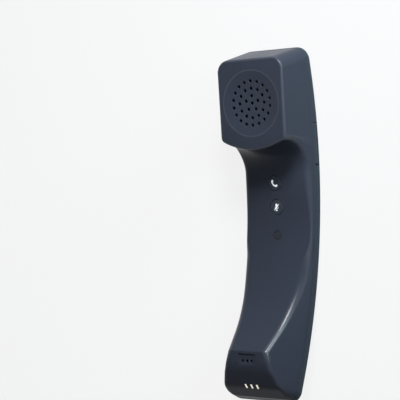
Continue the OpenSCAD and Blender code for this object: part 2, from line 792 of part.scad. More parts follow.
// One long key that rocks on a rib against the volume board
module volume_rocker() color(cover_colour) at_arc(rocker_s) {
    high = rocker_high - rocker_low;
    translate([rocker_back_x, -rocker_l / 2, rocker_low]) cube([half_w - rocker_back_x - 0.05, rocker_l, high]);
    translate([nub_x, -rocker_l / 2 - 0.9, wall + 0.8])
        cube([flange_wide, rocker_l + 1.8, seam_h + lip_rise - wall - 0.8]);
    for (y = [-1, 1]) translate([nub_x - nub_rise, y * rocker_switch_y, seam_h - 0.6]) rotate([0, 90, 0])
        cylinder(h = nub_rise + 0.3, r = 0.8);
    translate([pivot_x, 0, wall + 0.8]) {
        cylinder(h = 3, r = pivot_r);
        translate([0, -pivot_r, 0]) cube([nub_x - pivot_x + 0.2, 2 * pivot_r, 3]);
    }
}

// Light windows pressed into the cover
module link_light_window() color("#2f6fd0") at_arc(link_s) rotate_extrude() polygon([
    [0, 0.04], [link_light_r, 0.04], [link_light_r, wall + 0.05], [link_light_r + 0.8, wall + 0.05],
    [link_light_r + 0.8, wall + 0.55], [0, wall + 0.8]]);
module bar(grow, t) plate(bar_light_l + 2 * grow, bar_light_w + 2 * grow, t, bar_light_w / 2 + grow - 0.01);
module battery_light_window() color("#58c43c") at_arc(bar_s) {
    translate([0, 0, 0.04]) bar(0, wall + 0.7);
    translate([0, 0, wall + 0.05]) plate(bar_light_l + 1.6, bar_light_w + 1.6, 0.5, 0.8);
}

// Charging contacts: bright plates through the chin that stand on the contact board
module charge_contact(k) color("#d8cfae") at_crown(contact_s)
    translate([k * contact_pitch, 0, contact_back]) plate(contact_l, contact_w, contact_proud - contact_back, 0.3);
module charge_contact_left() charge_contact(-1);
module charge_contact_middle() charge_contact(0);
module charge_contact_right() charge_contact(1);
module contact_board() color(board_colour) at_crown(contact_s)
    translate([0, 0, contact_back - board_t]) difference() {
        plate(contact_board_l, contact_board_w, board_t, 1);
        for (x = [-1, 1]) translate([x * stake_x, 0, -1]) cylinder(h = board_t + 2, r = stake_r + fit);
    }

// Speaker
module grille_mesh() color(black) at_face() translate([0, 0, grille_back - mesh_t])
    cylinder(h = mesh_t, r = speaker_r - 2.4);
module speaker_gasket() color(black) at_face() translate([0, 0, frame_front]) difference() {
    cylinder(h = gasket_t, r = speaker_r);
    translate([0, 0, -1]) cylinder(h = gasket_t + 2, r = speaker_r - 2.3);
}
module speaker_frame() color("#8a8d90") at_face() translate([0, 0, frame_front]) difference() {
    rotate_extrude() polygon([
        [speaker_r, 0], [speaker_r, -flange_t], [speaker_r - 1.5, -flange_t],
        [magnet_r + 1.2, -frame_depth + 1], [magnet_r + 1.2, -frame_depth], [magnet_r - 4, -frame_depth],
        [magnet_r - 4, -frame_depth + 1], [magnet_r + 0.4, -frame_depth + 1],
        [speaker_r - 2.4, -flange_t], [speaker_r - 2.4, -0.4], [speaker_r - 0.9, -0.4], [speaker_r - 0.9, 0]]);
    for (a = [45:90:315]) rotate([0, 0, a]) translate([speaker_r - 3, 0, -frame_depth + 1.6])
        block(6, 7, frame_depth - flange_t - 2.4);
}
module speaker_cone() color("#26282b") at_face() translate([0, 0, frame_front]) rotate_extrude() polygon([
    [speaker_r - 1, -0.38], [speaker_r - 2.2, -0.38], [speaker_r - 3.2, -0.7], [magnet_r - 4.2, -4],
    [magnet_r - 4.2, -5.6], [magnet_r - 4.5, -5.6], [magnet_r - 4.5, -3.6], [0, -2.2], [0, -1.9],
    [magnet_r - 4.4, -3.3], [speaker_r - 3.4, -0.35], [speaker_r - 2.6, -0.08], [speaker_r - 1, -0.08]]);
module speaker_magnet() color(steel_colour) at_face() translate([0, 0, frame_front - frame_depth])
    rotate_extrude() polygon([
        [0, -magnet_t], [magnet_r - 0.5, -magnet_t], [magnet_r, -magnet_t + 0.5], [magnet_r, 0],
        [magnet_r - 5, 0], [magnet_r - 5, 2.6], [0, 2.6]]);
module speaker_clamp() color(steel_colour) difference() {
    union() {
        at_face() translate([0, 0, frame_front - flange_t - clamp_t]) cylinder(h = clamp_t, r = speaker_r + 1.2);
        clamp_places() translate([0, 0, frame_front - flange_t - clamp_t]) {
            cylinder(h = clamp_t, r = post_r);
            translate([-clamp_ring + speaker_r, -post_r, 0]) cube([clamp_ring - speaker_r, 2 * post_r, clamp_t]);
        }
    }
    at_face() translate([0, 0, frame_front - flange_t - clamp_t - 1])
        cylinder(h = clamp_t + 2, r = speaker_r - 1.4);
    clamp_places() translate([0, 0, frame_front - flange_t - clamp_t - 1])
        cylinder(h = clamp_t + 2, r = screw_hole_r);
}
// A screw whose head lies below z = 0 and whose shank points up
module screw(l) {
    translate([0, 0, -screw_head_t]) cylinder(h = screw_head_t, r = screw_head_r);
    cylinder(h = l, r = screw_r);
}
module clamp_screws() color(steel_colour) clamp_places()
    translate([0, 0, frame_front - flange_t - clamp_t]) screw(clamp_t + 3);
module hook_magnet() color(steel_colour) at_face()
    translate([hook_x, hook_y, -wall - hook_t]) cylinder(h = hook_t, r = hook_r);

// Radio board behind the lights
module radio_board() color(board_colour) difference() {
    at_radio_board() plate(radio_board_l, radio_board_w, board_t, 1.5);
    radio_posts() translate([0, 0, -1]) cylinder(h = board_t + 2, r = screw_hole_r);
}
module radio_board_screws() color(steel_colour) radio_posts()
    translate([0, 0, board_t]) mirror([0, 0, 1]) screw(board_t + 1.4);
led_t = radio_board_h - wall - 1.1;
module led(s) color("#e8e4d0") at_radio_board(s - radio_s, -led_t) block(2, 3, led_t);
module link_led() led(link_s);
module battery_led() led(bar_s);

// Main board with its switches, sensor, socket and shield
module main_board() color(board_colour) difference() {
    at_main_board() plate(main_board_l, main_board_w, board_t, 1.5);
    main_posts() translate([0, 0, -1]) cylinder(h = board_t + 2, r = screw_hole_r);
}
module main_board_screws() color(steel_colour) main_posts() screw(screw_l - 1);
module key_switch(s) color(steel_colour) at_main_board(switch_y(s), board_t) {
    block(switch_w, switch_w, switch_h);
    cylinder(h = switch_h + button_h, r = button_r);
}
module call_switch() key_switch(call_s);
module mute_switch() key_switch(mute_s);
module proximity_sensor() color(black)
    at_main_board((pt(0, sensor_s, 0) - pt(0, main_s, 0)) * board_run(), board_t) block(3, 4, 1);
module battery_socket() color("#e6e0d0") at_main_board(-main_board_l / 2 + 3, board_t)
    translate([lead_x, 0, 0]) block(battery_socket_w, 5, 2.4);
module shield_can() color(steel_colour) at_main_board(0, -1.6) difference() {
    block(20, 16, 1.6);
    translate([0, 0, 0.3]) block(19.4, 15.4, 2);
}

// Volume board on edge inside the side wall
module volume_board() color(board_colour) at_arc(rocker_s)
    translate([volume_board_x - volume_board_t, -volume_board_half, wall + 0.6])
        cube([volume_board_t, 2 * volume_board_half, seam_h]);
module volume_switches() color(steel_colour) at_arc(rocker_s)
    for (y = [-1, 1]) translate([volume_board_x, y * rocker_switch_y - 1.75, seam_h - 1.9])
        cube([side_switch_t, 3.5, 2.6]);

// Battery on its foam pad
module battery_pack() color("#9aa0a6") at_arc(battery_s, battery_h) plate(battery_l, battery_w, battery_t, 2);
module battery_pad() color(black) at_arc(battery_s, battery_h) translate([0, 0, -pad_t])
    plate(battery_l - 2 * pad_inset, battery_w - 2 * pad_inset, pad_t, 1);
module battery_lead() color("#b03028") translate([lead_x, 0, 0]) ribbon([
    arc_point(battery_s, battery_h, battery_l / 2 + fit, 3),
    arc_point(main_s, main_board_h, -main_board_l / 2 + 0.5 - fit, board_t + 1.6)], 0.8, 4);

// Microphone in its rubber boot behind the three holes
module microphone_boot() color(black) at_crown(mic_s) difference() {
    translate([0, 0, mic_seat - boot_t]) plate(boot_l, boot_w, boot_t, 1);
    translate([0, 0, mic_seat - boot_t + capsule_t - 0.5]) block(boot_w - 3.4, 2, boot_t);
    translate([0, 0, mic_seat - boot_t - 1]) cylinder(h = capsule_t + 1, r = capsule_r + fit / 2);
}
module microphone() color(steel_colour) at_crown(mic_s) translate([0, 0, mic_seat - boot_t])
    cylinder(h = capsule_t, r = capsule_r);

// Flat flexes between the boards, and their sockets
module ear_flex() color("#b9793a") ribbon([
    arc_point(radio_s, radio_board_h, 2 - radio_board_l / 2 + socket_inset, -socket_t),
    arc_point(radio_s, radio_board_h, -2 - radio_board_l / 2 + socket_inset, -socket_t),
    arc_point(main_s, main_board_h, main_board_l / 2 - socket_inset + 2, -socket_t),
    arc_point(main_s, main_board_h, main_board_l / 2 - socket_inset - 2, -socket_t)], -flex_t, flex_w);
module chin_flex() color("#b9793a") ribbon(concat(
    [for (y = [2, -2]) arc_point(main_s, main_board_h, socket_inset + y - main_board_l / 2, -socket_t)],
    [for (f = [0:0.25:1]) pt(0, battery_s + battery_l * (0.5 - f), wall + flex_clear + flex_t)],
    [for (y = [-2.5, 2]) crown_point(contact_s, y, contact_back - board_t - flex_clear - flex_t)]),
    -flex_t, flex_w);
module flex_sockets() color("#e6e0d0") {
    at_main_board(main_board_l / 2 - socket_inset, -socket_t) block(flex_w + 1, 4, socket_t);
    at_main_board(socket_inset - main_board_l / 2, -socket_t) block(flex_w + 1, 4, socket_t);
    at_radio_board(socket_inset - radio_board_l / 2, -socket_t) block(flex_w + 1, 4, socket_t);
}

outer_cover();
inner_housing();
call_key();
mute_key();
sensor_window();
volume_rocker();
link_light_window();
battery_light_window();
charge_contact_left();
charge_contact_middle();
charge_contact_right();
grille_mesh();
speaker_gasket();
speaker_frame();
speaker_cone();
speaker_magnet();
speaker_clamp();
clamp_screws();
hook_magnet();
radio_board();
radio_board_screws();
link_led();
battery_led();
main_board();
main_board_screws();
shield_can();
call_switch();
mute_switch();
proximity_sensor();
battery_socket();
volume_board();
volume_switches();
battery_pack();
battery_pad();
battery_lead();
microphone_boot();
microphone();
contact_board();
ear_flex();
chin_flex();
flex_sockets();
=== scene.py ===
"""A cordless phone handset, dressed over its solids.

The shells, keys, rocker and contacts are made again at a finer pitch from the sizes that shape the solids.
Lengths are in millimetres until a mesh is made, which turns them into metres.
"""
import json
from math import acos, asin, atan2, cos, hypot, pi, radians, sin, sqrt, tan

import bmesh
import bpy
from mathutils import Matrix, Vector
from mathutils.kdtree import KDTree


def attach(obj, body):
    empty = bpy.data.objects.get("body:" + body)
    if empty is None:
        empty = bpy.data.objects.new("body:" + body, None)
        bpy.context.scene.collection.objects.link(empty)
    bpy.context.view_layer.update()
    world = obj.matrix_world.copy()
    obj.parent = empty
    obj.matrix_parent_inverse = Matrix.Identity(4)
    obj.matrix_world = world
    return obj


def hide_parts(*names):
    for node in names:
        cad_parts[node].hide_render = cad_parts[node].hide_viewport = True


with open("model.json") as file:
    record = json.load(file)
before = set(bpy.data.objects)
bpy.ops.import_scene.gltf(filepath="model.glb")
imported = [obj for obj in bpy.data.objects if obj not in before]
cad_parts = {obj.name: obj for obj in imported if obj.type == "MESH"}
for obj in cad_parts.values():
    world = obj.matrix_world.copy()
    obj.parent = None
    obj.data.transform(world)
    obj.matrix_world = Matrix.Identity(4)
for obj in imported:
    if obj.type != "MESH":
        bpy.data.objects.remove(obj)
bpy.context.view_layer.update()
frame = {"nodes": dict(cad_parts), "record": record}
nodes = frame["nodes"]

MM = 0.001

# The camera, where the photograph was taken from
CAMERA_AT = Vector((437.9, -12.5, 668.6))
CAMERA_FORWARD = Vector((-0.5999, 0.0330, -0.7994))
CAMERA_UP = Vector((0.0158, 0.9995, 0.0294))
LENS = 123.08

# Overall
BODY_W = 46
BODY_L = 206
BACK_R = 297
TOP_CORNER_R = 7.5
FOOT_CORNER_R = 6.5
WALL = 1.8
REST_S = 10.5
HALF_L = BODY_L / 2
HALF_W = BODY_W / 2
SIDE_SLOPE = tan(radians(2))

# Outer cover
SEAM_H = 4.6
COVER_EDGE_R = 1.2
SEAM_GAP = 0.3
SEAM_LAND = 0.2
LIP_RISE = 1.5
LIP_T = 1
LIP_LOW = SEAM_H - 2.2
LIP_ROOT = WALL - 0.3
LIP_ROOT_H = SEAM_H - 0.5
FIT = 0.1
RIM_R = 0.22
RIM_MIDDLE = 0.3

# Earpiece block and its dish
BLOCK_L = 50.8
FACE_TOP_H = 27.9
FACE_LOW_H = 33.4
FACE_BULGE = 5.6
FACE_EDGE_R = 1.4
BLOCK_CORNER_R = 2
MIN_CORNER_R = 0.8
SCOOP_R = 20
SCOOP_ROOT_H = 12.3
SCOOP_LEAN = 0.5
SCOOP_CROWN = 3
DISH_DROP = 25
DISH_R = 18.8
DISH_DEPTH = 1.5
DISH_LIP = 0.6
DISH_ROLL = 0.5
DISH_BALL_R = (DISH_R * DISH_R + DISH_DEPTH * DISH_DEPTH) / (2 * DISH_DEPTH)
GRILLE_T = 1.6
SOUND_HOLE_R = 0.95
SOUND_RING_PITCH = 4.15
SOUND_RING_HOLES = (5, 12, 18)

# Handle
HANDLE_H = 10.7
BOW_R = 90
BOW_RISE = 50
BOW_CORNER_DROP = 8
SHOULDER_H = 6.5
HANDLE_EDGE_R = 4.3
HANDLE_FOLD_R = 0.5
MIN_EDGE_R = 0.4
MIN_FOLD_R = 0.3
EDGE_FALL = 0.5

# Mouthpiece chin
CHIN_L = 22.2
CHIN_H = 28.6
CHIN_W = 25.8
KNEE_H = CHIN_H - 3.1
KNEE_R = 18
SHIN_H = 17
SHIN_R = 10
FOOT_H = 7.3
FOOT_R = 1.5
CHIN_EDGE_R = 1
CHIN_FOLD_R = 2
CREASE_R = 2.6
CREASE_SOFT = 0.8
CREASE_INSET = 2
FACET_L = 61

# Keys, rocker and windows
KEY_R = 4.3
KEY_GAP = 0.25
KEY_DISH = 0.12
KEY_HOLLOW_R = KEY_R - 1.2
KEY_EDGE_R = 0.3
KEY_FLANGE = 0.9
KEY_FLANGE_T = 0.8
KEY_FLANGE_GAP = 0.3
PLUNGER_R = 1.5
SENSOR_R = 2.55
SENSOR_FLANGE = 0.9
SENSOR_FLANGE_T = 0.8
ROCKER_L = 24
ROCKER_GAP = 0.3
ROCKER_LOW = 1.3
ROCKER_HIGH = SEAM_H - 0.3
ROCKER_EDGE_R = 0.45
ROCKER_INSET = 0.03
ROCKER_WAIST = 0.14
ROCKER_WAIST_L = 5
NOTCH_R = 0.5
ROCKER_BACK_X = HALF_W - WALL - 0.8
FLANGE_X = HALF_W - WALL - 0.4
FLANGE_T = 0.9
FLANGE_LOW = WALL + 0.8
FLANGE_END = ROCKER_L / 2 + 0.9
NUB_Y = ROCKER_L / 3
NUB_R = 0.8
NUB_RISE = 0.25
PIVOT_X = 18.7
PIVOT_R = 0.5
LINK_LIGHT_R = 2.1
BAR_LIGHT_L = 4.5
BAR_LIGHT_W = 1.1

# Chin details
CONTACT_PITCH = 3.8
CONTACT_W = 1.2
CONTACT_L = 3
CONTACT_CORNER_R = 0.3
CONTACT_PROUD = 0.12
CONTACT_BACK = -(WALL + 1.4)
MIC_PITCH = 3
MIC_HOLE_R = 0.85
FELT_H = -1.5
FELT_T = 0.15
RECESS_W = 11.5
RECESS_L = 8
RECESS_DEPTH = 0.8

# Named places along the back
EDGE_S = HALF_L - BLOCK_L
CHIN_S = CHIN_L - HALF_L
KNEE_S = CHIN_S - CHIN_L * 0.44
CALL_S = EDGE_S - 27.6
MUTE_S = CALL_S - 14.4
SENSOR_S = MUTE_S - 16.8
CONTACT_S = 3.6 - HALF_L
SHIN_S = CONTACT_S - 0.2
MIC_S = 16.5 - HALF_L
ROCKER_S = HALF_L - 56
LINK_S = HALF_L - 14
BAR_S = LINK_S - 9


def bend(s):
    return (s - REST_S) / BACK_R


MID_Y = (BACK_R - COVER_EDGE_R) * (sin(bend(HALF_L)) + sin(bend(-HALF_L))) / 2


def pt(x, s, h):
    """The point x across, s along the back and h inward from the back's surface."""
    a = bend(s)
    return Vector((x, (BACK_R - h) * sin(a) - MID_Y, BACK_R - (BACK_R - h) * cos(a)))


def s_of(p):
    return REST_S + atan2(p.y + MID_Y, BACK_R - p.z) * BACK_R


def h_of(p):
    return BACK_R - hypot(p.y + MID_Y, BACK_R - p.z)


def mix(a, b, f):
    return a + (b - a) * f


def step01(f):
    g = max(0, min(1, f))
    return g * g * (3 - 2 * g)


def soft_min(a, b, k):
    h = max(k - abs(a - b), 0) / k
    return min(a, b) - h * h * k / 4


def lookup(at, table):
    """The value at a place in a table of (place, value), sorted by place."""
    if at <= table[0][0]:
        return table[0][1]
    for (a, va), (b, vb) in zip(table, table[1:]):
        if at <= b:
            return mix(va, vb, (at - a) / (b - a))
    return table[-1][1]


def ease(f, power):
    return f**power if power > 0 else 1 - (1 - f) ** -power


def angles(start, end, steps):
    """Even angles from start to end in degrees, both included, as radians."""
    return [radians(mix(start, end, k / steps)) for k in range(steps + 1)]


def corner_arc(a, p, b, r, n):
    """Points of an arc of radius r that rounds the corner a, p, b."""
    if r == 0:
        return [p.copy()]
    u, v = (a - p).normalized(), (b - p).normalized()
    inner = acos(u.dot(v))
    centre = p + (u + v).normalized() * r / sin(inner / 2)
    setback = r / tan(inner / 2)
    start, end = (p + u * setback - centre) / r, (p + v * setback - centre) / r
    turn = pi - inner
    return [
        centre + (start * sin((1 - k / n) * turn) + end * sin(k / n * turn)) * (r / sin(turn))
        for k in range(n + 1)
    ]


def rounded_line(keys, start, end):
    """A line through rounded corners. Each key is (corner, radius, arc steps, steps to the next, power)."""
    corners = [start] + [key[0] for key in keys] + [end]
    arcs = [
        corner_arc(corners[k], corners[k + 1], corners[k + 2], key[1], key[2]) for k, key in enumerate(keys)
    ]
    line = []
    for k, arc in enumerate(arcs):
        line += arc
        if k + 1 < len(keys):
            steps, power = keys[k][3:]
            line += [arc[-1].lerp(arcs[k + 1][0], ease(j / steps, power)) for j in range(1, steps)]
    return line


def left_of(d):
    return Vector((0, -d.z, d.y))


def inset_keys(keys, start, end, t):
    """The same keys moved inward by t, with each corner's radius to suit."""
    corners = [start] + [key[0] for key in keys] + [end]
    moved = []
    for k, (corner, r, *rest) in enumerate(keys):
        d1 = (corner - corners[k]).normalized()
        d2 = (corners[k + 2] - corner).normalized()
        n1, n2 = left_of(d1), left_of(d2)
        turn = d1.y * d2.z - d1.z * d2.y
        radius = 0 if r == 0 else max(r - t, r * 0.25) if turn > 0 else r + t
        moved.append((corner + (n1 + n2) * t / (1 + n1.dot(n2)), radius, *rest))
    return moved


def plan(s, t):
    """Half the width of the plan outline, t inside the outer skin."""
    hl, hw = HALF_L - t, HALF_W - t
    r = (TOP_CORNER_R if s > 0 else FOOT_CORNER_R) - t
    past = max(0, abs(s) - (hl - r))
    return hw - r + sqrt(max(0, r * r - past * past))


def side_x(s, h, t):
    return plan(s, t) - max(0, h - SEAM_H) * SIDE_SLOPE


# How far the crease lies from the middle, by place along the back
CREASE_TABLE = [
    (-HALF_L, HALF_W - CREASE_INSET),
    (KNEE_S, CHIN_W * 0.6),
    (CHIN_S, CHIN_W / 2),
    (CHIN_S + FACET_L, HALF_W - CREASE_INSET),
    (CHIN_S + FACET_L + 20, HALF_W + CREASE_INSET),
]

TOP_ANCHOR = pt(0, HALF_L, SEAM_H)
FOOT_ANCHOR = pt(0, -HALF_L, SEAM_H)
FACE_TOP = pt(0, HALF_L, FACE_TOP_H)
FACE_RUN = (pt(0, EDGE_S, FACE_LOW_H) - FACE_TOP).normalized()
CHIN_TOP = pt(0, CHIN_S, CHIN_H)

# Steps of the arc at each corner of the two lines, and of the stretch that follows it
ARC_STEPS = (6, 0, 8, 26, 44, 6, 8, 8, 4)
RUN_STEPS = (14, 12, 4, 4, 8, 8, 6, 14, 1)
SPREAD_FROM = ARC_STEPS[0] + 1 + RUN_STEPS[0] - 1 + 1 + RUN_STEPS[1] - 1
SPREAD_TO = SPREAD_FROM + ARC_STEPS[2] + RUN_STEPS[2] + ARC_STEPS[3]


def line_keys(bulge, root_rise, fall):
    """The corners of a line along the inner side, from the earpiece's face to the foot."""
    low = pt(0, EDGE_S, FACE_LOW_H) + FACE_RUN * bulge
    root = pt(0, s_of(low) - SCOOP_LEAN, SCOOP_ROOT_H + root_rise)
    low_h = HANDLE_H - fall
    first = pt(0, CHIN_S + BOW_RISE, low_h - BOW_CORNER_DROP)
    inner = acos((root - first).normalized().dot((CHIN_TOP - first).normalized()))
    bow = pt(0, CHIN_S + BOW_RISE, low_h - BOW_R * (1 / sin(inner / 2) - 1))
    root_inner = acos((low - root).normalized().dot((bow - root).normalized()))
    room = (low - root).length - FACE_EDGE_R * 1.5
    corners = [
        (FACE_TOP, FACE_EDGE_R, 1.6),
        (FACE_TOP + FACE_RUN * TOP_CORNER_R, 0, 1),
        (low, FACE_EDGE_R, 1),
        (root, min(SCOOP_R, room * tan(root_inner / 2)), 1),
        (bow, BOW_R, 1),
        (CHIN_TOP, CHIN_EDGE_R, 1),
        (pt(0, KNEE_S, KNEE_H), KNEE_R, 1),
        (pt(0, SHIN_S, SHIN_H), SHIN_R, -1.8),
        (pt(0, -HALF_L, FOOT_H), FOOT_R, 1),
    ]
    return [
        (corner, r, arc, run, power) for (corner, r, power), arc, run in zip(corners, ARC_STEPS, RUN_STEPS)
    ]


CROWN_KEYS = line_keys(FACE_BULGE, SCOOP_CROWN, 0)
CREASE_KEYS = line_keys(0, 0, EDGE_FALL)


def skin_line(keys, t):
    ends = [
        p + Vector((0, -side * cos(bend(side * HALF_L)), -side * sin(bend(side * HALF_L)))) * t
        for p, side in ((TOP_ANCHOR, 1), (FOOT_ANCHOR, -1))
    ]
    return rounded_line(inset_keys(keys, TOP_ANCHOR, FOOT_ANCHOR, t) if t else keys, *ends)


CROWN_TABLE = sorted((s_of(p), h_of(p)) for p in skin_line(CROWN_KEYS, 0))


def crown_h(s):
    return lookup(s, CROWN_TABLE)


def seam_s(line, i):
    """Where rib i meets the seam. Below the earpiece block the ribs are spread evenly there."""
    if i < SPREAD_FROM or i > SPREAD_TO:
        return s_of(line[i])
    share = (i - SPREAD_FROM) / (SPREAD_TO - SPREAD_FROM)
    return mix(s_of(line[SPREAD_FROM]), s_of(line[SPREAD_TO]), share)


def edge_r(s):
    handle = mix(CREASE_R, HANDLE_EDGE_R, step01((s - CHIN_S) / FACET_L))
    return mix(handle, FACE_EDGE_R, step01((s - EDGE_S + SCOOP_R * 0.8) / (SCOOP_R * 0.7)))


def fold_r(s):
    return mix(CHIN_FOLD_R, HANDLE_FOLD_R, step01((s - CHIN_S) / FACET_L))


def curve3(a, p, b, n):
    return [a * (1 - f) ** 2 + p * (2 * f * (1 - f)) + b * (f * f) for f in (k / n for k in range(n + 1))]


def top_point(e, c, f):
    g = 1 - (1 - f) * (1 - f)
    return Vector((e.x * (1 - f), mix(e.y, c.y, g), mix(e.z, c.z, g)))


def mirrored(points):
    return [Vector((-p.x, p.y, p.z)) for p in reversed(points)]


def corner_weight(crease, i):
    """1 at the block's lower edge, fading out up the face and down the scoop."""
    if i < SPREAD_FROM:
        return 1 - step01((crease[i] - crease[SPREAD_FROM]).length / (4 * BLOCK_CORNER_R))
    below = SPREAD_FROM + ARC_STEPS[2] + RUN_STEPS[2]
    return 1 - step01((i - below) / (SPREAD_TO - below))


def round_corner(points, e, weight, t):
    """Draws the points near a lower corner of the block back along the face, to round it in plan."""
    r = max(BLOCK_CORNER_R - t, MIN_CORNER_R)
    top = h_of(e) - SEAM_H - SEAM_GAP
    for p in points:
        past = min(max(p.x - e.x + r, 0), r)
        lift = min(max(h_of(p) - SEAM_H - SEAM_GAP, 0) / top, 1)
        p -= FACE_RUN * (r - sqrt(r * r - past * past)) * weight * lift


def housing_rib(crease, crown, i, t, steps, rim):
    """One rib from seam to seam: side wall, fold, edge and crown. steps are those of fold, edge and top."""
    e0, c = crease[i], crown[i]
    es, eh = s_of(e0), h_of(e0)
    ss = seam_s(crease, i)
    base = SEAM_H + SEAM_GAP
    sh = min(SHOULDER_H, (base + eh) / 2)
    bx = side_x(ss, SEAM_H, t)
    middle = rim * RIM_MIDDLE
    start = [pt(bx - rim, ss, base), pt(bx - middle, ss, base + middle)] if rim else []
    b = pt(bx, ss, base + rim)
    s = pt(side_x(ss, sh, t), ss, sh)
    e = Vector((soft_min(side_x(es, eh, t), lookup(es, CREASE_TABLE) - t, CREASE_SOFT), e0.y, e0.z))
    down, up = (b - s).normalized(), (e - s).normalized()
    fold = min(max(MIN_FOLD_R, fold_r(es) - t / 3), (b - s).length * 0.8, (e - s).length * 0.3)
    r = min(max(MIN_EDGE_R, edge_r(es) - t), ((e - s).length - fold) * 0.9, e.x * 0.8)
    first = r / e.x
    turn = Vector((e.x, mix(e.y, c.y, first * first), mix(e.z, c.z, first * first)))
    half = start + [b]
    half += curve3(s + down * fold, s, s + up * fold, steps[0])
    half += curve3(e - up * r, turn, top_point(e, c, first), steps[1])
    half += [top_point(e, c, mix(first, 1, k / steps[2])) for k in range(1, steps[2])]
    round_corner(half, e, corner_weight(crease, i), t)
    return half + [c] + mirrored(half)


def housing_ribs(t, steps, rim=0):
    crease, crown = skin_line(CREASE_KEYS, t), skin_line(CROWN_KEYS, t)
    return [housing_rib(crease, crown, i, t, steps, rim) for i in range(len(crown))]


def stations(t, spans):
    """Places along the back for the cover's ribs, dense at both ends."""
    edge = max(COVER_EDGE_R - t, COVER_EDGE_R / 4)

    def offsets(corner):
        rounds = [edge * (1 - cos(k / 8 * pi / 2)) for k in range(9)]
        return rounds + [edge + (corner - edge) * ease(j / 12, 1.6) for j in range(1, 13)]

    top = [HALF_L - t - o for o in offsets(TOP_CORNER_R - t)]
    foot = [o + t - HALF_L for o in offsets(FOOT_CORNER_R - t)]
    middle = [mix(top[-1], foot[-1], k / spans) for k in range(1, spans)]
    return top + middle + foot[::-1]


def cover_rib(s, t, steps, rim, across):
    """One rib of the cover: side band, rolled edge and back, which is drawn in spans across."""
    r = max(COVER_EDGE_R - t, COVER_EDGE_R / 4)
    x = plan(s, t)
    past = max(0, abs(s) - (HALF_L - t - r))
    low = t + r - sqrt(max(0, r * r - past * past))
    lift = min(r, SEAM_H - low - SEAM_LAND)
    middle = rim * RIM_MIDDLE
    half = [(x - rim, SEAM_H), (x - middle, SEAM_H - middle)] if rim else []
    half.append((x, SEAM_H - rim))
    for a in angles(0, 90, steps):
        half.append((x - r + r * cos(a), low + lift - lift * sin(a)))
    right = [pt(x, s, h) for x, h in half]
    left = [Vector((-p.x, p.y, p.z)) for p in right]
    return left + [left[-1].lerp(right[-1], k / across) for k in range(1, across)] + right[::-1]


# Meshes


def new_piece(name, verts, faces, place=None):
    """A mesh from points in millimetres, moved to a local frame where one is given."""
    points = [(place @ Vector(p) if place else Vector(p)) * MM for p in verts]
    mesh = bpy.data.meshes.new(name)
    mesh.from_pydata(points, [], [list(f) for f in faces])
    mesh.validate()
    piece = bpy.data.objects.new(name, mesh)
    bpy.context.scene.collection.objects.link(piece)
    return piece


def solid(name, verts, faces, place=None):
    """A closed piece with its faces turned outward."""
    piece = new_piece(name, verts, faces, place)
    bm = bmesh.new()
    bm.from_mesh(piece.data)
    bmesh.ops.recalc_face_normals(bm, faces=bm.faces)
    bm.to_mesh(piece.data)
    bm.free()
    return piece


def grid(n, m, at=0, outward=True):
    """Quads of a grid of n ribs with m points each."""
    quads = []
    for i in range(n - 1):
        for j in range(m - 1):
            a = at + i * m + j
            quad = (a, a + 1, a + m + 1, a + m)
            quads.append(quad if outward else quad[::-1])
    return quads


def shell(name, outer, inner):
    """A shell between two skins that have the same number of ribs, open at the seam."""
    n, m, w = len(outer), len(outer[0]), len(inner[0])
    at, end = n * m, n - 1
    faces = grid(n, m) + grid(n, w, at, False)
    faces.append(range(m - 1, -1, -1))
    faces.append(range(end * m, n * m))
    faces.append(range(at, at + w))
    faces.append(range(at + n * w - 1, at + end * w - 1, -1))
    faces.append((at, at + w - 1, m - 1, 0))
    faces.append((end * m, n * m - 1, at + n * w - 1, at + end * w))
    for i in range(end):
        a, b = i * m, (i + 1) * m
        c, d = at + i * w, at + (i + 1) * w
        faces.append((a, b, d, c))
        faces.append((c + w - 1, d + w - 1, b + m - 1, a + m - 1))
    return solid(name, [p for rib in outer + inner for p in rib], faces)


def bands(layers, n, at=0, closed=False):
    """Quads between closed outlines of n points each, and back to the first where closed."""
    quads = []
    for k in range(layers if closed else layers - 1):
        a, b = at + k * n, at + (k + 1) % layers * n
        quads += [(a + i, b + i, b + (i + 1) % n, a + (i + 1) % n) for i in range(n)]
    return quads


def lathe(profile, steps):
    """Vertices and faces of a solid turned about Z. Its (radius, height) points start and end on Z."""
    verts = [(0, 0, profile[0][1])]
    for r, z in profile[1:-1]:
        verts += [(r * cos(2 * pi * k / steps), r * sin(2 * pi * k / steps), z) for k in range(steps)]
    verts.append((0, 0, profile[-1][1]))
    last = len(verts) - 1
    top = last - steps
    faces = bands(len(profile) - 2, steps, 1)
    for k in range(steps):
        following = (k + 1) % steps
        faces += [(0, 1 + k, 1 + following), (top + following, top + k, last)]
    return verts, faces


def outline_solid(layers):
    """Vertices and faces of a solid through closed outlines of equal length, the lowest last."""
    n = len(layers[0])
    verts = [p for layer in layers for p in layer]
    return verts, [range(n), range(len(verts) - 1, len(verts) - n - 1, -1), *bands(len(layers), n)]


def round_rect(w, l, r, z=0, steps=6):
    """A rounded rectangle of points, counterclockwise, at height z."""
    points = []
    for x, y, start in ((1, 1, 0), (-1, 1, 90), (-1, -1, 180), (1, -1, 270)):
        for a in angles(start, start + 90, steps):
            points.append((x * (w / 2 - r) + r * cos(a), y * (l / 2 - r) + r * sin(a), z))
    return points


def at_arc(s, h=0, x=0):
    return Matrix.Translation(pt(x, s, h)) @ Matrix.Rotation(bend(s), 4, "X")


def at_crown(s):
    run = pt(0, s + 1, crown_h(s + 1)) - pt(0, s - 1, crown_h(s - 1))
    return Matrix.Translation(pt(0, s, crown_h(s))) @ Matrix.Rotation(atan2(run.z, run.y), 4, "X")


def at_face():
    tilt = Matrix.Rotation(atan2(-FACE_RUN.z, -FACE_RUN.y), 4, "X")
    return Matrix.Translation(FACE_TOP + FACE_RUN * DISH_DROP) @ tilt


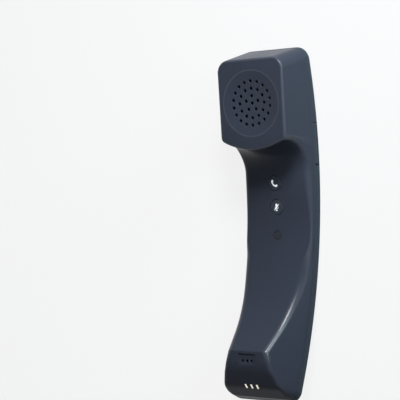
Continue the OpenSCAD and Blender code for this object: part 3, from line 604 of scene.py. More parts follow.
def soften(piece, angle=32):
    """Smooth shading, with edges sharper than the angle kept."""
    bm = bmesh.new()
    bm.from_mesh(piece.data)
    for f in bm.faces:
        f.smooth = True
    for e in bm.edges:
        e.smooth = len(e.link_faces) == 2 and e.calc_face_angle(0) < radians(angle)
    bm.to_mesh(piece.data)
    bm.free()
    return piece


# How much handling polishes the edges, by place along the back
POLISH_TABLE = [
    (CHIN_S - 6, 0.1),
    (CHIN_S + 2, 1),
    (CHIN_S + 55, 1),
    (CHIN_S + 85, 0.3),
    (EDGE_S - 8, 0.3),
    (EDGE_S, 0.5),
]

# It shows from this turn, in radians per millimetre, and from this height, each over a span
WORN_TURN, WORN_TURN_SPAN = 0.1, 0.2
WORN_H, WORN_H_SPAN = 7, 2.5
WORN_DISH_RIM = 0.6


def worn_edges(piece):
    """The points of a skin where it turns outward, each with how worn it is, from 0 to 1."""
    bm = bmesh.new()
    bm.from_mesh(piece.data)
    middles = {f: f.calc_center_median() for f in bm.faces if len(f.verts) == 4}
    worn = []
    for v in bm.verts:
        at = v.co / MM
        turns = [0]
        for e in v.link_edges:
            a, b = [middles.get(f) for f in e.link_faces]
            along_rib = abs(e.verts[0].index - e.verts[1].index) == 1
            if a and b and not (along_rib and s_of(at) < EDGE_S - 8):
                turns.append(e.calc_face_angle_signed(0) / max((a - b).length, 0.1 * MM))
        level = step01((max(turns) * MM - WORN_TURN) / WORN_TURN_SPAN)
        level *= step01((h_of(at) - WORN_H) / WORN_H_SPAN)
        if level:
            worn.append((v.co.copy(), level * lookup(s_of(at), POLISH_TABLE)))
    bm.free()
    return worn


def mark_worn(piece, worn, place, rim_from, rim_to):
    """Writes the worn points onto the cut piece, and the rim of the dish, for the finish to polish."""
    tree = KDTree(len(worn))
    for k, (co, _) in enumerate(worn):
        tree.insert(co, k)
    tree.balance()
    to_dish = place.inverted()
    marks = piece.data.attributes.new("worn_edge", "FLOAT", "POINT")
    for vertex, mark in zip(piece.data.vertices, marks.data):
        _, k, distance = tree.find(vertex.co)
        at = to_dish @ (vertex.co / MM)
        if rim_from < hypot(at.x, at.y) < rim_to and -1 < at.z < 1:
            mark.value = WORN_DISH_RIM
        elif distance < 0.01 * MM:
            mark.value = worn[k][1]


# Geometry Nodes


class NodeTree:
    """A Geometry Nodes tree with named inputs."""

    def __init__(self, name, inputs):
        self.tree = bpy.data.node_groups.new(name, "GeometryNodeTree")
        face = self.tree.interface
        for label, kind in (("Geometry", "Geometry"), *inputs):
            face.new_socket(label, in_out="INPUT", socket_type="NodeSocket" + kind)
        face.new_socket("Geometry", in_out="OUTPUT", socket_type="NodeSocketGeometry")
        self.inputs = self.tree.nodes.new("NodeGroupInput").outputs
        self.output = self.tree.nodes.new("NodeGroupOutput").inputs[0]

    def node(self, kind, *values, out=0, **settings):
        """A node with its settings and with values or links for its first sockets. None leaves a socket."""
        node = self.tree.nodes.new(kind)
        for key, value in settings.items():
            setattr(node, key, value)
        sockets = [socket for socket in node.inputs if socket.enabled]
        for socket, value in zip(sockets, values):
            if isinstance(value, (list, tuple)) and value and isinstance(value[0], bpy.types.NodeSocket):
                for link in value:
                    self.tree.links.new(link, socket)
            elif isinstance(value, bpy.types.NodeSocket):
                self.tree.links.new(value, socket)
            elif value is not None:
                socket.default_value = value
        shown = [socket for socket in node.outputs if socket.enabled]
        return node.outputs[out] if isinstance(out, str) else shown[out]

    def math(self, operation, *values):
        return self.node("ShaderNodeMath", *values, operation=operation)

    def end(self, geometry):
        self.tree.links.new(geometry, self.output)
        return self.tree


def socket_of(tree, label):
    return next(
        item.identifier
        for item in tree.interface.items_tree
        if item.item_type == "SOCKET" and item.in_out == "INPUT" and item.name == label
    )


def place_inputs():
    return [("Place", "Vector"), ("Tilt", "Vector"), ("Cutter", "Object"), ("Finish", "Material")]


def cut_at_points(tree, points, turn=None):
    """The tree's geometry less a cutter at each point. All are moved to Place and turned by Tilt."""
    inputs = tree.inputs
    cutter = tree.node("GeometryNodeObjectInfo", inputs["Cutter"], out="Geometry")
    holes = tree.node("GeometryNodeInstanceOnPoints", points, None, cutter, None, None, turn)
    holes = tree.node("GeometryNodeRealizeInstances", holes)
    holes = tree.node("GeometryNodeTransform", holes, inputs["Place"], inputs["Tilt"])
    left = tree.node(
        "GeometryNodeMeshBoolean", inputs["Geometry"], holes, operation="DIFFERENCE", solver="EXACT"
    )
    return tree.end(tree.node("GeometryNodeSetMaterial", left, None, inputs["Finish"]))


def row_tree():
    """Cuts a row of holes across the handset."""
    tree = NodeTree("row of holes", [("Count", "Int"), ("Pitch", "Float"), *place_inputs()])
    inputs = tree.inputs
    count, pitch = inputs["Count"], inputs["Pitch"]
    span = tree.math("MULTIPLY", tree.math("SUBTRACT", count, 1), pitch)
    start = tree.node("ShaderNodeCombineXYZ", tree.math("MULTIPLY", span, -0.5), 0, 0)
    step = tree.node("ShaderNodeCombineXYZ", pitch, 0, 0)
    line = tree.node("GeometryNodeMeshLine", count, start, step, mode="OFFSET")
    return cut_at_points(tree, line)


def rings_tree():
    """Cuts rings of holes, each square to the ball that shapes the dish."""
    rings = [("Ring 1", "Int"), ("Ring 2", "Int"), ("Ring 3", "Int")]
    tree = NodeTree(
        "rings of holes", [*rings, ("Pitch", "Float"), ("Ball", "Float"), ("Depth", "Float"), *place_inputs()]
    )
    inputs = tree.inputs
    ball = inputs["Ball"]
    middle = tree.node("GeometryNodeMeshLine", 1)
    circles = [tree.node("GeometryNodeMeshToPoints", middle)]
    for k in (1, 2, 3):
        radius = tree.math("MULTIPLY", inputs["Pitch"], k)
        circle = tree.node("GeometryNodeMeshCircle", inputs[f"Ring {k}"], radius)
        circles.append(tree.node("GeometryNodeMeshToPoints", circle))
    points = tree.node("GeometryNodeJoinGeometry", circles)
    points = tree.node("GeometryNodeTransform", points, None, (0, 0, pi / 2))
    at = tree.node("GeometryNodeInputPosition")
    square = tree.node("ShaderNodeVectorMath", at, at, operation="DOT_PRODUCT", out="Value")
    root = tree.math("SQRT", tree.math("SUBTRACT", tree.math("MULTIPLY", ball, ball), square))
    height = tree.math("SUBTRACT", tree.math("SUBTRACT", ball, root), inputs["Depth"])
    offset = tree.node("ShaderNodeCombineXYZ", 0, 0, height)
    points = tree.node("GeometryNodeSetPosition", points, None, None, offset)
    up = tree.node("ShaderNodeCombineXYZ", 0, 0, ball)
    inward = tree.node("ShaderNodeVectorMath", up, at, operation="SUBTRACT")
    turn = tree.node("FunctionNodeAlignRotationToVector", None, None, inward, axis="Z")
    return cut_at_points(tree, points, turn)


ROW = row_tree()
RINGS = rings_tree()


def cut(piece, tree, place, cutter, finish, **values):
    """Runs a cutting tree at a local frame, keeps its result as a plain mesh and clears the cutter away."""
    at, turn, _ = place.decompose()
    values.update(Place=at * MM, Tilt=turn.to_euler(), Cutter=cutter, Finish=finish)
    modifier = piece.modifiers.new(tree.name, "NODES")
    modifier.node_group = tree
    for label, value in values.items():
        modifier[socket_of(tree, label.replace("_", " "))] = value
    graph = bpy.context.evaluated_depsgraph_get()
    mesh = bpy.data.meshes.new_from_object(piece.evaluated_get(graph))
    piece.modifiers.clear()
    piece.data = mesh
    bpy.data.objects.remove(cutter)


def drill(piece, place, cutter, finish, count=1, pitch=0):
    """Cuts one hole, or a row of them across the handset."""
    cut(piece, ROW, place, cutter, finish, Count=count, Pitch=pitch * MM)


# How deep a cutter goes to pass a wall, and how far it stands out
THROUGH = 6
CUT_REACH = 2


def lip_steps(lip):
    """How far a cutter grows past its hole at each height, for a rolled lip, from the lowest up."""
    arc = [(lip - lip * cos(a), lip * sin(a) - lip) for a in angles(0, 72, 4)]
    wide = arc[-1][0] + lip * 1.2
    return [*arc, (wide, lip * 0.34), (wide, CUT_REACH)]


def round_cutter(r, depth, lip, steps):
    """A cutter for a round hole with a rolled lip."""
    wall = [(r + grow, z) for grow, z in lip_steps(lip)]
    return solid("cutter", *lathe([(0, -depth), (r, -depth), *wall, (0, CUT_REACH)], steps))


def slot_cutter(w, l, r, depth, lip):
    """A cutter for a rounded slot with a rolled lip."""
    layers = [round_rect(w + 2 * grow, l + 2 * grow, r + grow, z) for grow, z in reversed(lip_steps(lip))]
    return solid("cutter", *outline_solid([*layers, round_rect(w, l, r, -depth)]))


def pocket_cutter(w, l, r, fillet):
    """A cutter for a shallow pocket whose floor meets its walls in a fillet."""
    layers = [round_rect(w, l, r, 2 * CUT_REACH)]
    for a in angles(90, 0, 3):
        shrink = fillet * (1 - sin(a))
        layers.append(round_rect(w - 2 * shrink, l - 2 * shrink, r - shrink, fillet * (1 - cos(a))))
    return solid("cutter", *outline_solid(layers))


# Shader maths


class Value:
    """A shader socket. An expression on it adds its Math nodes."""

    def __init__(self, shader, socket):
        self.shader = shader
        self.socket = socket

    def math(self, operation, *others):
        return self.shader.node("Math", dict(enumerate((self, *others))), operation=operation)

    def __add__(self, other):
        return self.math("ADD", other)

    def __sub__(self, other):
        return self.math("SUBTRACT", other)

    def __mul__(self, other):
        return self.math("MULTIPLY", other)

    def __rsub__(self, other):
        return self.shader.node("Math", {0: other, 1: self}, operation="SUBTRACT")

    __radd__ = __add__
    __rmul__ = __mul__

    def between(self, low, high):
        """0 below low, 1 above high and smooth between them."""
        span = {"Value": self, "From Min": low, "From Max": high}
        return self.shader.node("MapRange", span, interpolation_type="SMOOTHSTEP")


class Shader:
    """The shader tree of a material or a world, under construction."""

    def __init__(self, owner):
        self.owner = owner
        owner.use_nodes = True
        self.tree = owner.node_tree
        self.tree.nodes.clear()

    def node(self, kind, inputs, out=0, **settings):
        """A node with its settings, and with values or links for the sockets that inputs names."""
        node = self.tree.nodes.new("ShaderNode" + kind)
        for key, value in settings.items():
            setattr(node, key, value)
        for key, value in inputs.items():
            socket = node.inputs[key]
            if isinstance(value, Value):
                self.tree.links.new(value.socket, socket)
            elif isinstance(value, tuple) and len(value) == 3 and socket.type == "RGBA":
                socket.default_value = (*value, 1)
            else:
                socket.default_value = value
        return Value(self, node.outputs[out]) if node.outputs else None


class Finish(Shader):
    """A material under construction. Every pattern reads the piece's own Object coordinates."""

    def __init__(self, name):
        super().__init__(bpy.data.materials.new(name))
        self.place = self.node("TexCoord", {}, out="Object")

    def axes(self):
        return [self.node("SeparateXYZ", {0: self.place}, out=k) for k in range(3)]

    def noise(self, size, detail=2, rough=0.5, stretch=None):
        """Noise whose features are about size millimetres wide."""
        place = self.node("Mapping", {"Vector": self.place, "Scale": stretch}) if stretch else self.place
        wanted = {"Vector": place, "Scale": 1 / (size * MM), "Detail": detail, "Roughness": rough}
        return self.node("TexNoise", wanted)

    def cells(self, size):
        return self.node("TexVoronoi", {"Vector": self.place, "Scale": 1 / (size * MM)})

    def blend(self, factor, a, b):
        """A colour between a and b."""
        return self.node("Mix", {0: factor, 6: a, 7: b}, out=2, data_type="RGBA")

    def bump(self, height, depth, strength=1.0):
        return self.node("Bump", {"Height": height, "Distance": depth * MM, "Strength": strength})

    def surface(self, **sockets):
        """Ends the material in a Principled BSDF. Names have _ for a space."""
        wanted = {key.replace("_", " "): value for key, value in sockets.items()}
        shader = self.node("BsdfPrincipled", wanted)
        self.node("OutputMaterial", {"Surface": shader})
        return self.owner


def tint(colour, level, lift=0):
    """A colour made darker or lighter."""
    return tuple(min(1, c * level + lift) for c in colour)


def moulded(name, colour, rough=0.32, grain=0.28, depth=0.005, gloss=0.06, worn=0.9):
    """Moulded plastic with a fine spark-eroded grain, faint flow shading and edges polished by handling."""
    f = Finish(name)
    fine = f.noise(grain, 3, 0.6)
    flow = f.noise(22, 3, 0.55)
    polish = f.noise(9, 4, 0.6)
    base = f.blend(flow * 0.7 + fine * 0.3, tint(colour, 0.9), tint(colour, 1.1))
    spread = rough + (polish - 0.5) * 0.16 + (fine - 0.5) * 0.1
    edge = f.node("Attribute", {}, out="Fac", attribute_name="worn_edge")
    return f.surface(
        Base_Color=base, Roughness=spread, Normal=f.bump(fine, depth, 0.6), Specular_IOR_Level=gloss,
        Coat_Weight=edge * (worn * (0.7 + polish * 0.6)), Coat_Roughness=0.28,
    )


def ink_with_painted_glow(name, colour):
    """A printed symbol: a film with slightly uneven cover, with a faint painted glow that keeps it bright in
    the earpiece block's shade, though no lamp lies behind it.
    """
    f = Finish(name)
    cover = f.noise(0.12, 3)
    base = f.blend(cover, tint(colour, 0.86), colour)
    # The emission is a painted glow, not light from a lamp.
    return f.surface(
        Base_Color=base, Roughness=0.38 + cover * 0.15, Normal=f.bump(cover, 0.004, 0.5), Emission_Color=base,
        Emission_Strength=0.35,
    )


def lens(name, colour, haze):
    """Tinted glossy plastic over a dark cavity."""
    f = Finish(name)
    smear = f.noise(3, 4)
    base = f.blend(smear, colour, tint(colour, 1.5))
    return f.surface(Base_Color=base, Roughness=haze + smear * 0.12, Specular_IOR_Level=0.12)


def light_pipe(name, colour, glow, centre, reach):
    """A window lit from behind, brightest over its lamp."""
    f = Finish(name)
    away = f.node("VectorMath", {0: f.place, 1: tuple(c * MM for c in centre)}, out=1, operation="DISTANCE")
    middle = 1 - away.between(0, reach * MM)
    haze = f.noise(0.35, 2)
    dim = tint(colour, 0.25)
    lit = f.blend(middle * 0.8 + haze * 0.2, dim, tint(colour, 1.3, 0.12))
    return f.surface(
        Base_Color=f.blend(haze, dim, colour), Roughness=0.25 + haze * 0.1, Emission_Color=lit,
        Emission_Strength=glow, Coat_Weight=0.4,
    )


def metal(name, colour, rough):
    """Drawn or plated metal with fine lines along it."""
    f = Finish(name)
    lines = f.noise(0.5, 4, 0.65, (1, 14, 1))
    cloud = f.noise(4, 2)
    base = f.blend(cloud, tint(colour, 0.85), colour)
    spread = rough + (lines - 0.5) * 0.18
    return f.surface(Base_Color=base, Metallic=1.0, Roughness=spread, Normal=f.bump(lines, 0.004, 0.5))


def circuit(name, mask, copper):
    """Solder mask over traces and vias."""
    f = Finish(name)
    runs = f.node("TexBrick", {
        "Vector": f.place, "Scale": 420.0, "Mortar Size": 0.03,
        "Color1": (1, 1, 1), "Color2": (0.6, 0.6, 0.6), "Mortar": (0, 0, 0),
    }, out=1)
    pads = 1 - f.cells(1.9).between(0.12, 0.17)
    base = f.blend(runs * 0.6 + f.noise(3) * 0.4, mask, tint(mask, 2.2))
    base = f.blend(pads, base, copper)
    return f.surface(
        Base_Color=base, Metallic=pads * 0.9, Roughness=0.3 + pads * 0.1,
        Normal=f.bump(runs + pads, 0.03, 0.6),
    )


def soft(name, colour, size, depth, rough=0.85, open_cells=True):
    """Foam with open cells, or matte rubber."""
    f = Finish(name)
    pores = f.cells(size) if open_cells else f.noise(size, 4)
    base = f.blend(pores, tint(colour, 0.5), tint(colour, 1.4))
    spread = rough + (pores - 0.5) * 0.1
    return f.surface(Base_Color=base, Roughness=spread, Normal=f.bump(pores, depth), Specular_IOR_Level=0.2)


def woven(name, colour, pitch):
    """Acoustic cloth: two sets of threads that pass over and under."""
    f = Finish(name)
    x, y, _ = f.axes()
    turn = 2 * pi / (pitch * MM)
    warp = (x * turn).math("SINE")
    weft = (y * turn).math("SINE")
    over = (warp * weft).between(-0.4, 0.4)
    thread = f.node("Math", {0: warp.math("ABSOLUTE"), 1: weft.math("ABSOLUTE")}, operation="MAXIMUM")
    base = f.blend(over, tint(colour, 0.6), tint(colour, 1.6))
    return f.surface(
        Base_Color=base, Roughness=0.8 + over * 0.1, Normal=f.bump(thread + over, 0.05),
        Specular_IOR_Level=0.05,
    )


def film(name, colour, rough, wrinkle, tracks=0):
    """Wrapped film or flat flex with faint wrinkles and, where tracks is set, copper lines along it."""
    f = Finish(name)
    x, _, _ = f.axes()
    creases = f.noise(5, 5, 0.6, (1, 0.35, 1))
    base = f.blend(creases, tint(colour, 0.8), tint(colour, 1.15))
    if tracks:
        line = (x * (2 * pi / (tracks * MM))).math("SINE").between(0.1, 0.4)
        base = f.blend(line * 0.8, base, (0.42, 0.2, 0.09))
    return f.surface(
        Base_Color=base, Roughness=rough + (creases - 0.5) * 0.2, Normal=f.bump(creases, wrinkle),
        Coat_Weight=0.3,
    )


SLATE = (0.031, 0.041, 0.053)
NAVY = (0.03, 0.035, 0.05)
FINISHES = {
    "cover_plastic": moulded("slate moulded plastic", SLATE, rough=0.4),
    "housing_plastic": moulded("dark blue moulded plastic", NAVY, rough=0.32),
    "key_plastic": moulded("key plastic", (0.036, 0.041, 0.056), rough=0.36, grain=0.2, depth=0.004),
    "dark_window": lens("smoked window", (0.016, 0.018, 0.023), haze=0.3),
    "contact_metal": metal("plated contact metal", (0.9, 0.86, 0.74), rough=0.24),
    "board": circuit("circuit board", mask=(0.012, 0.07, 0.035), copper=(0.8, 0.55, 0.25)),
    "steel": metal("drawn steel", (0.56, 0.57, 0.58), rough=0.34),
    "foam": soft("black foam", (0.016, 0.016, 0.017), size=0.5, depth=0.15),
    "soft_rubber": soft("matte rubber", (0.02, 0.02, 0.021), 0.3, 0.02, rough=0.7, open_cells=False),
    "acoustic_cloth": woven("acoustic cloth", (0.005, 0.005, 0.006), pitch=0.3),
    "cone_paper": soft("pressed paper", (0.03, 0.029, 0.027), 0.6, 0.05, rough=0.9, open_cells=False),
    "battery_film": film("battery wrap", (0.5, 0.52, 0.55), rough=0.35, wrinkle=0.08),
    "white_plastic": moulded("ivory plastic", (0.72, 0.7, 0.62), rough=0.4),
    "flex_film": film("amber flex film", (0.5, 0.22, 0.05), rough=0.3, wrinkle=0.02, tracks=0.9),
    "blue_light": light_pipe("blue light window", (0.03, 0.25, 0.95), 1.2, pt(0, LINK_S, 0), LINK_LIGHT_R),
    "green_light": light_pipe("green light window", (0.2, 0.8, 0.12), 1.4, pt(0, BAR_S, 0), BAR_LIGHT_L / 2),
}
# The symbols' print, with its painted glow.
SYMBOL_INK_WITH_PAINTED_GLOW = ink_with_painted_glow("white symbol ink", (0.86, 0.87, 0.88))


def dress(piece, slot, *replaced, body="handset", finish=None):
    """Gives a finished piece the material of its slot or the finish given, puts it on its body and hides the
    solids it stands for.
    """
    piece.data.materials.clear()
    piece.data.materials.append(finish or FINISHES[slot])
    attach(piece, body)
    if replaced:
        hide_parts(*replaced)
    return piece


# Inner housing: earpiece block, scoop, handle and chin in one moulding
outer_ribs = housing_ribs(0, steps=(4, 9, 14), rim=RIM_R)
housing = shell("housing_shell", outer_ribs, housing_ribs(WALL, steps=(2, 4, 6)))
worn = worn_edges(housing)
plastic = FINISHES["housing_plastic"]


def dish_profile():
    """The dish's ball, rolled over into the face at its rim."""
    slope = asin((DISH_R - DISH_ROLL) / DISH_BALL_R)
    roll = DISH_LIP / slope * 0.9

    def ball(a):
        return DISH_BALL_R * sin(a), DISH_BALL_R * (1 - cos(a)) - DISH_DEPTH

    r0, z0 = ball(slope)
    bowl = [ball(slope * k / 10) for k in range(1, 11)]
    rolled = [
        (r0 + (sin(slope) - sin(a)) * roll, z0 + (cos(a) - cos(slope)) * roll)
        for a in (slope * (1 - k / 6) for k in range(1, 6))
    ]
    wide, top = rolled[-1]
    wide += DISH_LIP
    return [(0, -DISH_DEPTH), *bowl, *rolled, (wide, top + 0.03), (wide, 2 * CUT_REACH), (0, 2 * CUT_REACH)]


drill(housing, at_face(), solid("cutter", *lathe(dish_profile(), steps=128)), plastic)
cut(
    housing, RINGS, at_face(), round_cutter(SOUND_HOLE_R, GRILLE_T + 3, lip=0.14, steps=28), plastic,
    Pitch=SOUND_RING_PITCH * MM, Ball=DISH_BALL_R * MM, Depth=DISH_DEPTH * MM,
    **{f"Ring_{k}": count for k, count in enumerate(SOUND_RING_HOLES, 1)},
)
for s in (CALL_S, MUTE_S):
    drill(housing, at_crown(s), round_cutter(KEY_R + KEY_GAP, THROUGH, lip=0.14, steps=72), plastic)
drill(housing, at_crown(SENSOR_S), round_cutter(SENSOR_R + FIT, THROUGH, lip=0.15, steps=56), plastic)
tilt = Matrix.Rotation(-atan2(RECESS_DEPTH, RECESS_L), 4, "X")
to_lower_edge = Matrix.Translation((0, -RECESS_L / 2, 0))
mic_floor = at_crown(MIC_S) @ to_lower_edge @ tilt @ to_lower_edge.inverted()
drill(housing, mic_floor, pocket_cutter(RECESS_W, RECESS_L, r=0.9, fillet=0.3), plastic)
drill(housing, mic_floor, round_cutter(MIC_HOLE_R, THROUGH, lip=0.1, steps=28), plastic, 3, MIC_PITCH)
felt_r, felt_low = MIC_HOLE_R - 0.03, FELT_H - FELT_T
felt = lathe([(0, felt_low), (felt_r, felt_low), (felt_r, FELT_H), (0, FELT_H)], steps=24)
for k in (-1, 0, 1):
    place = mic_floor @ Matrix.Translation((k * MIC_PITCH, 0, 0))
    dress(solid(f"microphone_felt_{k + 2}", *felt, place), "acoustic_cloth")
slots = slot_cutter(CONTACT_W + 2 * FIT, CONTACT_L + 2 * FIT, r=0.35, depth=THROUGH, lip=0.1)
drill(housing, at_crown(CONTACT_S), slots, plastic, 3, CONTACT_PITCH)
mark_worn(housing, worn, at_face(), DISH_R - 0.45, DISH_R + 0.05)
dress(soften(housing), "housing_plastic", "inner_housing")

# Outer cover: the long back shell with its side band, light windows and rocker notch
COVER_SPANS = 64
cover = shell(
    "cover_shell",
    [cover_rib(s, 0, steps=10, rim=RIM_R, across=20) for s in stations(0, COVER_SPANS)],
    [cover_rib(s, WALL, steps=2, rim=0, across=1) for s in stations(WALL, COVER_SPANS)],
)
plastic = FINISHES["cover_plastic"]
FACE_DOWN = Matrix.Rotation(pi, 4, "X")
link_hole = round_cutter(LINK_LIGHT_R + FIT, THROUGH, lip=0.12, steps=48)
drill(cover, at_arc(LINK_S) @ FACE_DOWN, link_hole, plastic)
bar_w, bar_l = BAR_LIGHT_W + 2 * FIT, BAR_LIGHT_L + 2 * FIT
bar_hole = slot_cutter(bar_w, bar_l, r=bar_w / 2 - 0.01, depth=THROUGH, lip=0.12)
drill(cover, at_arc(BAR_S) @ FACE_DOWN, bar_hole, plastic)
notch_low, notch_high = ROCKER_LOW - ROCKER_GAP, SEAM_H + 3
notch = solid("cutter", *outline_solid([
    round_rect(notch_high - notch_low, ROCKER_L + 2 * ROCKER_GAP, NOTCH_R, z)
    for z in (3, ROCKER_BACK_X - ROCKER_GAP - HALF_W)
]))
SIDEWAYS = Matrix.Rotation(pi / 2, 4, "Y")
drill(cover, at_arc(ROCKER_S, (notch_low + notch_high) / 2, HALF_W) @ SIDEWAYS, notch, plastic)
dress(soften(cover), "cover_plastic", "outer_cover")


def lip_loop(t, h):
    line = stations(t, COVER_SPANS // 2)
    right = [pt(plan(s, t), s, h) for s in line]
    return right + [pt(-plan(s, t), s, h) for s in reversed(line)]


def lip_ring():
    """The lip inside the seam, which closes the groove between the shells."""
    outer, inner = WALL + FIT, WALL + FIT + LIP_T
    section = [
        (LIP_ROOT, LIP_LOW), (LIP_ROOT, LIP_ROOT_H), (outer, LIP_ROOT_H),
        (outer, SEAM_H + LIP_RISE), (inner, SEAM_H + LIP_RISE), (inner, LIP_LOW),
    ]
    loops = [lip_loop(t, h) for t, h in section]
    faces = bands(len(loops), len(loops[0]), closed=True)
    return solid("cover_lip", [p for loop in loops for p in loop], faces)


lip = lip_ring()
notch_inside = solid("cutter", *outline_solid([
    round_rect(9, ROCKER_L + 4.8, NOTCH_R, z) for z in (2, -5.2)
]))
drill(lip, at_arc(ROCKER_S, WALL + 5, HALF_W) @ SIDEWAYS, notch_inside, plastic)
dress(soften(lip), "cover_plastic", "outer_cover")


# Round keys with their printed symbols


def key_top(r):
    """Height of a key's hollow top at radius r."""
    return KEY_DISH * min(1, r / KEY_HOLLOW_R) ** 2


def key_profile(plunger):
    back = -WALL - KEY_FLANGE_GAP
    front = back - KEY_FLANGE_T
    flange_r = KEY_R + KEY_FLANGE
    edge = [
        (KEY_R - KEY_EDGE_R + KEY_EDGE_R * sin(a), KEY_DISH - KEY_EDGE_R + KEY_EDGE_R * cos(a))
        for a in angles(90, 0, 6)
    ]
    top = [(r, key_top(r)) for r in (KEY_R - 0.7, KEY_HOLLOW_R, 2.4, 1.8, 1.2, 0.6, 0)]
    return [
        (0, -plunger), (PLUNGER_R, -plunger), (PLUNGER_R, front), (flange_r, front), (flange_r, back),
        (KEY_R, back), *edge, *top,
    ]


def plunger_length(node, s):
    """How far a key's plunger reaches below its top, from the solid's own points."""
    inverse = at_crown(s).inverted()
    return -min((inverse @ (vertex.co / MM)).z for vertex in nodes[node].data.vertices)


def stroke(path, half_width):
    """A flat printed stroke with round ends, as three lines of points. half_width may be a function."""
    lines = []
    total = sum((b - a).length for a, b in zip(path, path[1:]))
    run = 0
    for k, p in enumerate(path):
        if k:
            run += (p - path[k - 1]).length
        ahead = path[min(k + 1, len(path) - 1)] - path[max(k - 1, 0)]
        side = Vector((-ahead.y, ahead.x)).normalized()
        w = half_width(run / total) if callable(half_width) else half_width
        near = min(1, min(run, total - run) / w)
        w *= sqrt(max(0.0, 1 - (1 - near) ** 2)) * 0.98 + 0.02
        lines.append((p - side * w, p, p + side * w))
    return lines


def printed(name, strokes, s, body):
    """Strokes as one thin printed film that follows a key's hollow top."""
    film_t, sunk = 0.035, 0.05
    verts, faces = [], []
    for lines in strokes:
        n = len(lines)
        at, below = len(verts), len(verts) + n * 3
        for lift in (film_t, -sunk):
            verts += [(p.x, p.y, key_top(p.length) + lift) for line in lines for p in line]
        faces += grid(n, 3, at, False) + grid(n, 3, below)
        ring = [i * 3 for i in range(n)] + [n * 3 - 2] + [i * 3 + 2 for i in reversed(range(n))] + [1]
        for a, b in zip(ring, ring[1:] + ring[:1]):
            faces.append((at + a, at + b, below + b, below + a))
    dress(solid(name, verts, faces, at_crown(s)), "white_plastic", body=body, finish=SYMBOL_INK_WITH_PAINTED_GLOW)


def straight(a, b, n=8):
    return [Vector(a).lerp(Vector(b), k / n) for k in range(n + 1)]


def arc_path(centre, r, start, end, n=16):
    return [Vector((centre[0] + r * cos(a), centre[1] + r * sin(a))) for a in angles(start, end, n)]


def receiver_strokes():
    """A telephone receiver: a bowed grip with a cup at each end."""
    middle, r = Vector((1.0, 1.0)), 2.55
    cups = []
    for angle in (170, 280):
        out = Vector((cos(radians(angle)), sin(radians(angle))))
        cups.append(stroke([middle + out * (r + 0.4 - 1.25 * k / 8) for k in range(9)], 0.62))
    return [stroke(arc_path(middle, r, 170, 280, 24), lambda f: 0.4 + 0.2 * abs(2 * f - 1))] + cups


def crossed_microphone_strokes():
    """A microphone on its stand with a stroke across it."""
    return [
        stroke(straight((0, -0.35), (0, 2.2)), 0.66),
        stroke(arc_path((0, 0.3), 1.2, 190, 350), 0.17),
        stroke(straight((0, -0.9), (0, -1.85)), 0.2),
        stroke(straight((-0.8, -1.9), (0.8, -1.9)), 0.2),
        stroke(straight((1.8, 1.9), (-1.7, -1.75), 12), 0.2),
    ]


for node, body, s, symbol, strokes in (
    ("call_key", "call_button", CALL_S, "receiver_symbol", receiver_strokes()),
    ("mute_key", "mute_button", MUTE_S, "crossed_microphone_symbol", crossed_microphone_strokes()),
):
    profile = key_profile(plunger_length(node, s))
    cap = solid(node + "_cap", *lathe(profile, steps=72), at_crown(s))
    dress(soften(cap), "key_plastic", node, body=body)
    printed(symbol, strokes, s, body)

# Sensor window: a smoked lens just below the handle's surface
lens_back = -WALL - FIT
lens_front = lens_back - SENSOR_FLANGE_T
lens_flange_r = SENSOR_R + SENSOR_FLANGE
lens_profile = [
    (0, lens_front), (lens_flange_r, lens_front), (lens_flange_r, lens_back), (SENSOR_R, lens_back),
    (SENSOR_R, -0.25), (SENSOR_R - 0.06, -0.12), (SENSOR_R - 0.25, -0.03), (SENSOR_R * 0.5, 0.0), (0, 0.01),
]
sensor = solid("sensor_lens", *lathe(lens_profile, steps=56), at_crown(SENSOR_S))
dress(soften(sensor), "dark_window", "sensor_window")


def rocker_shell():
    """The rocker's cap, rounded at its edges and waisted in the middle."""
    high = ROCKER_HIGH - ROCKER_LOW
    r, half = ROCKER_EDGE_R, ROCKER_L / 2
    rim = r + 0.3
    ends = [r * (1 - cos(a)) for a in angles(0, 90, 4)]
    runs = [e - half for e in ends] + [mix(r - half, half - r, k / 24) for k in range(1, 24)]
    ribs = []
    for y in runs + [half - e for e in reversed(ends)]:
        past = max(0, abs(y) - (half - r))
        shrink = r - sqrt(max(0, r * r - past * past))
        waist = ROCKER_WAIST * (1 - step01(abs(y) / ROCKER_WAIST_L))
        middle = HALF_W - ROCKER_INSET - waist - shrink - rim
        ribs.append([
            pt(middle + x if x > 0 else ROCKER_BACK_X, ROCKER_S + y, ROCKER_LOW + high / 2 + z)
            for x, z, _ in round_rect(2 * rim, high - 2 * shrink, r * 0.9)
        ])
    return solid("rocker_cap", *outline_solid(ribs))


def rocker_flange():
    """The flange that keeps the rocker in, with a nub over each switch and the rib that it rocks on."""
    inner = FLANGE_X - FLANGE_T
    nub = [(inner - NUB_RISE * sin(a), NUB_Y + NUB_R * cos(a)) for a in angles(0, 180, 6)]
    rib = [(PIVOT_X - PIVOT_R * sin(a), PIVOT_R * cos(a)) for a in angles(0, 180, 12)]
    outline = [
        (FLANGE_X, -FLANGE_END), (FLANGE_X, FLANGE_END), (inner, FLANGE_END), *nub, (inner, PIVOT_R), *rib,
        (inner, -PIVOT_R), *[(x, -y) for x, y in reversed(nub)], (inner, -FLANGE_END),
    ]
    layers = [[(x, y, h) for x, y in outline] for h in (SEAM_H + LIP_RISE, FLANGE_LOW)]
    return solid("rocker_flange", *outline_solid(layers), at_arc(ROCKER_S))


dress(soften(rocker_shell(), 40), "cover_plastic", "volume_rocker", body="volume_button")
dress(soften(rocker_flange()), "cover_plastic", "volume_rocker", body="volume_button")

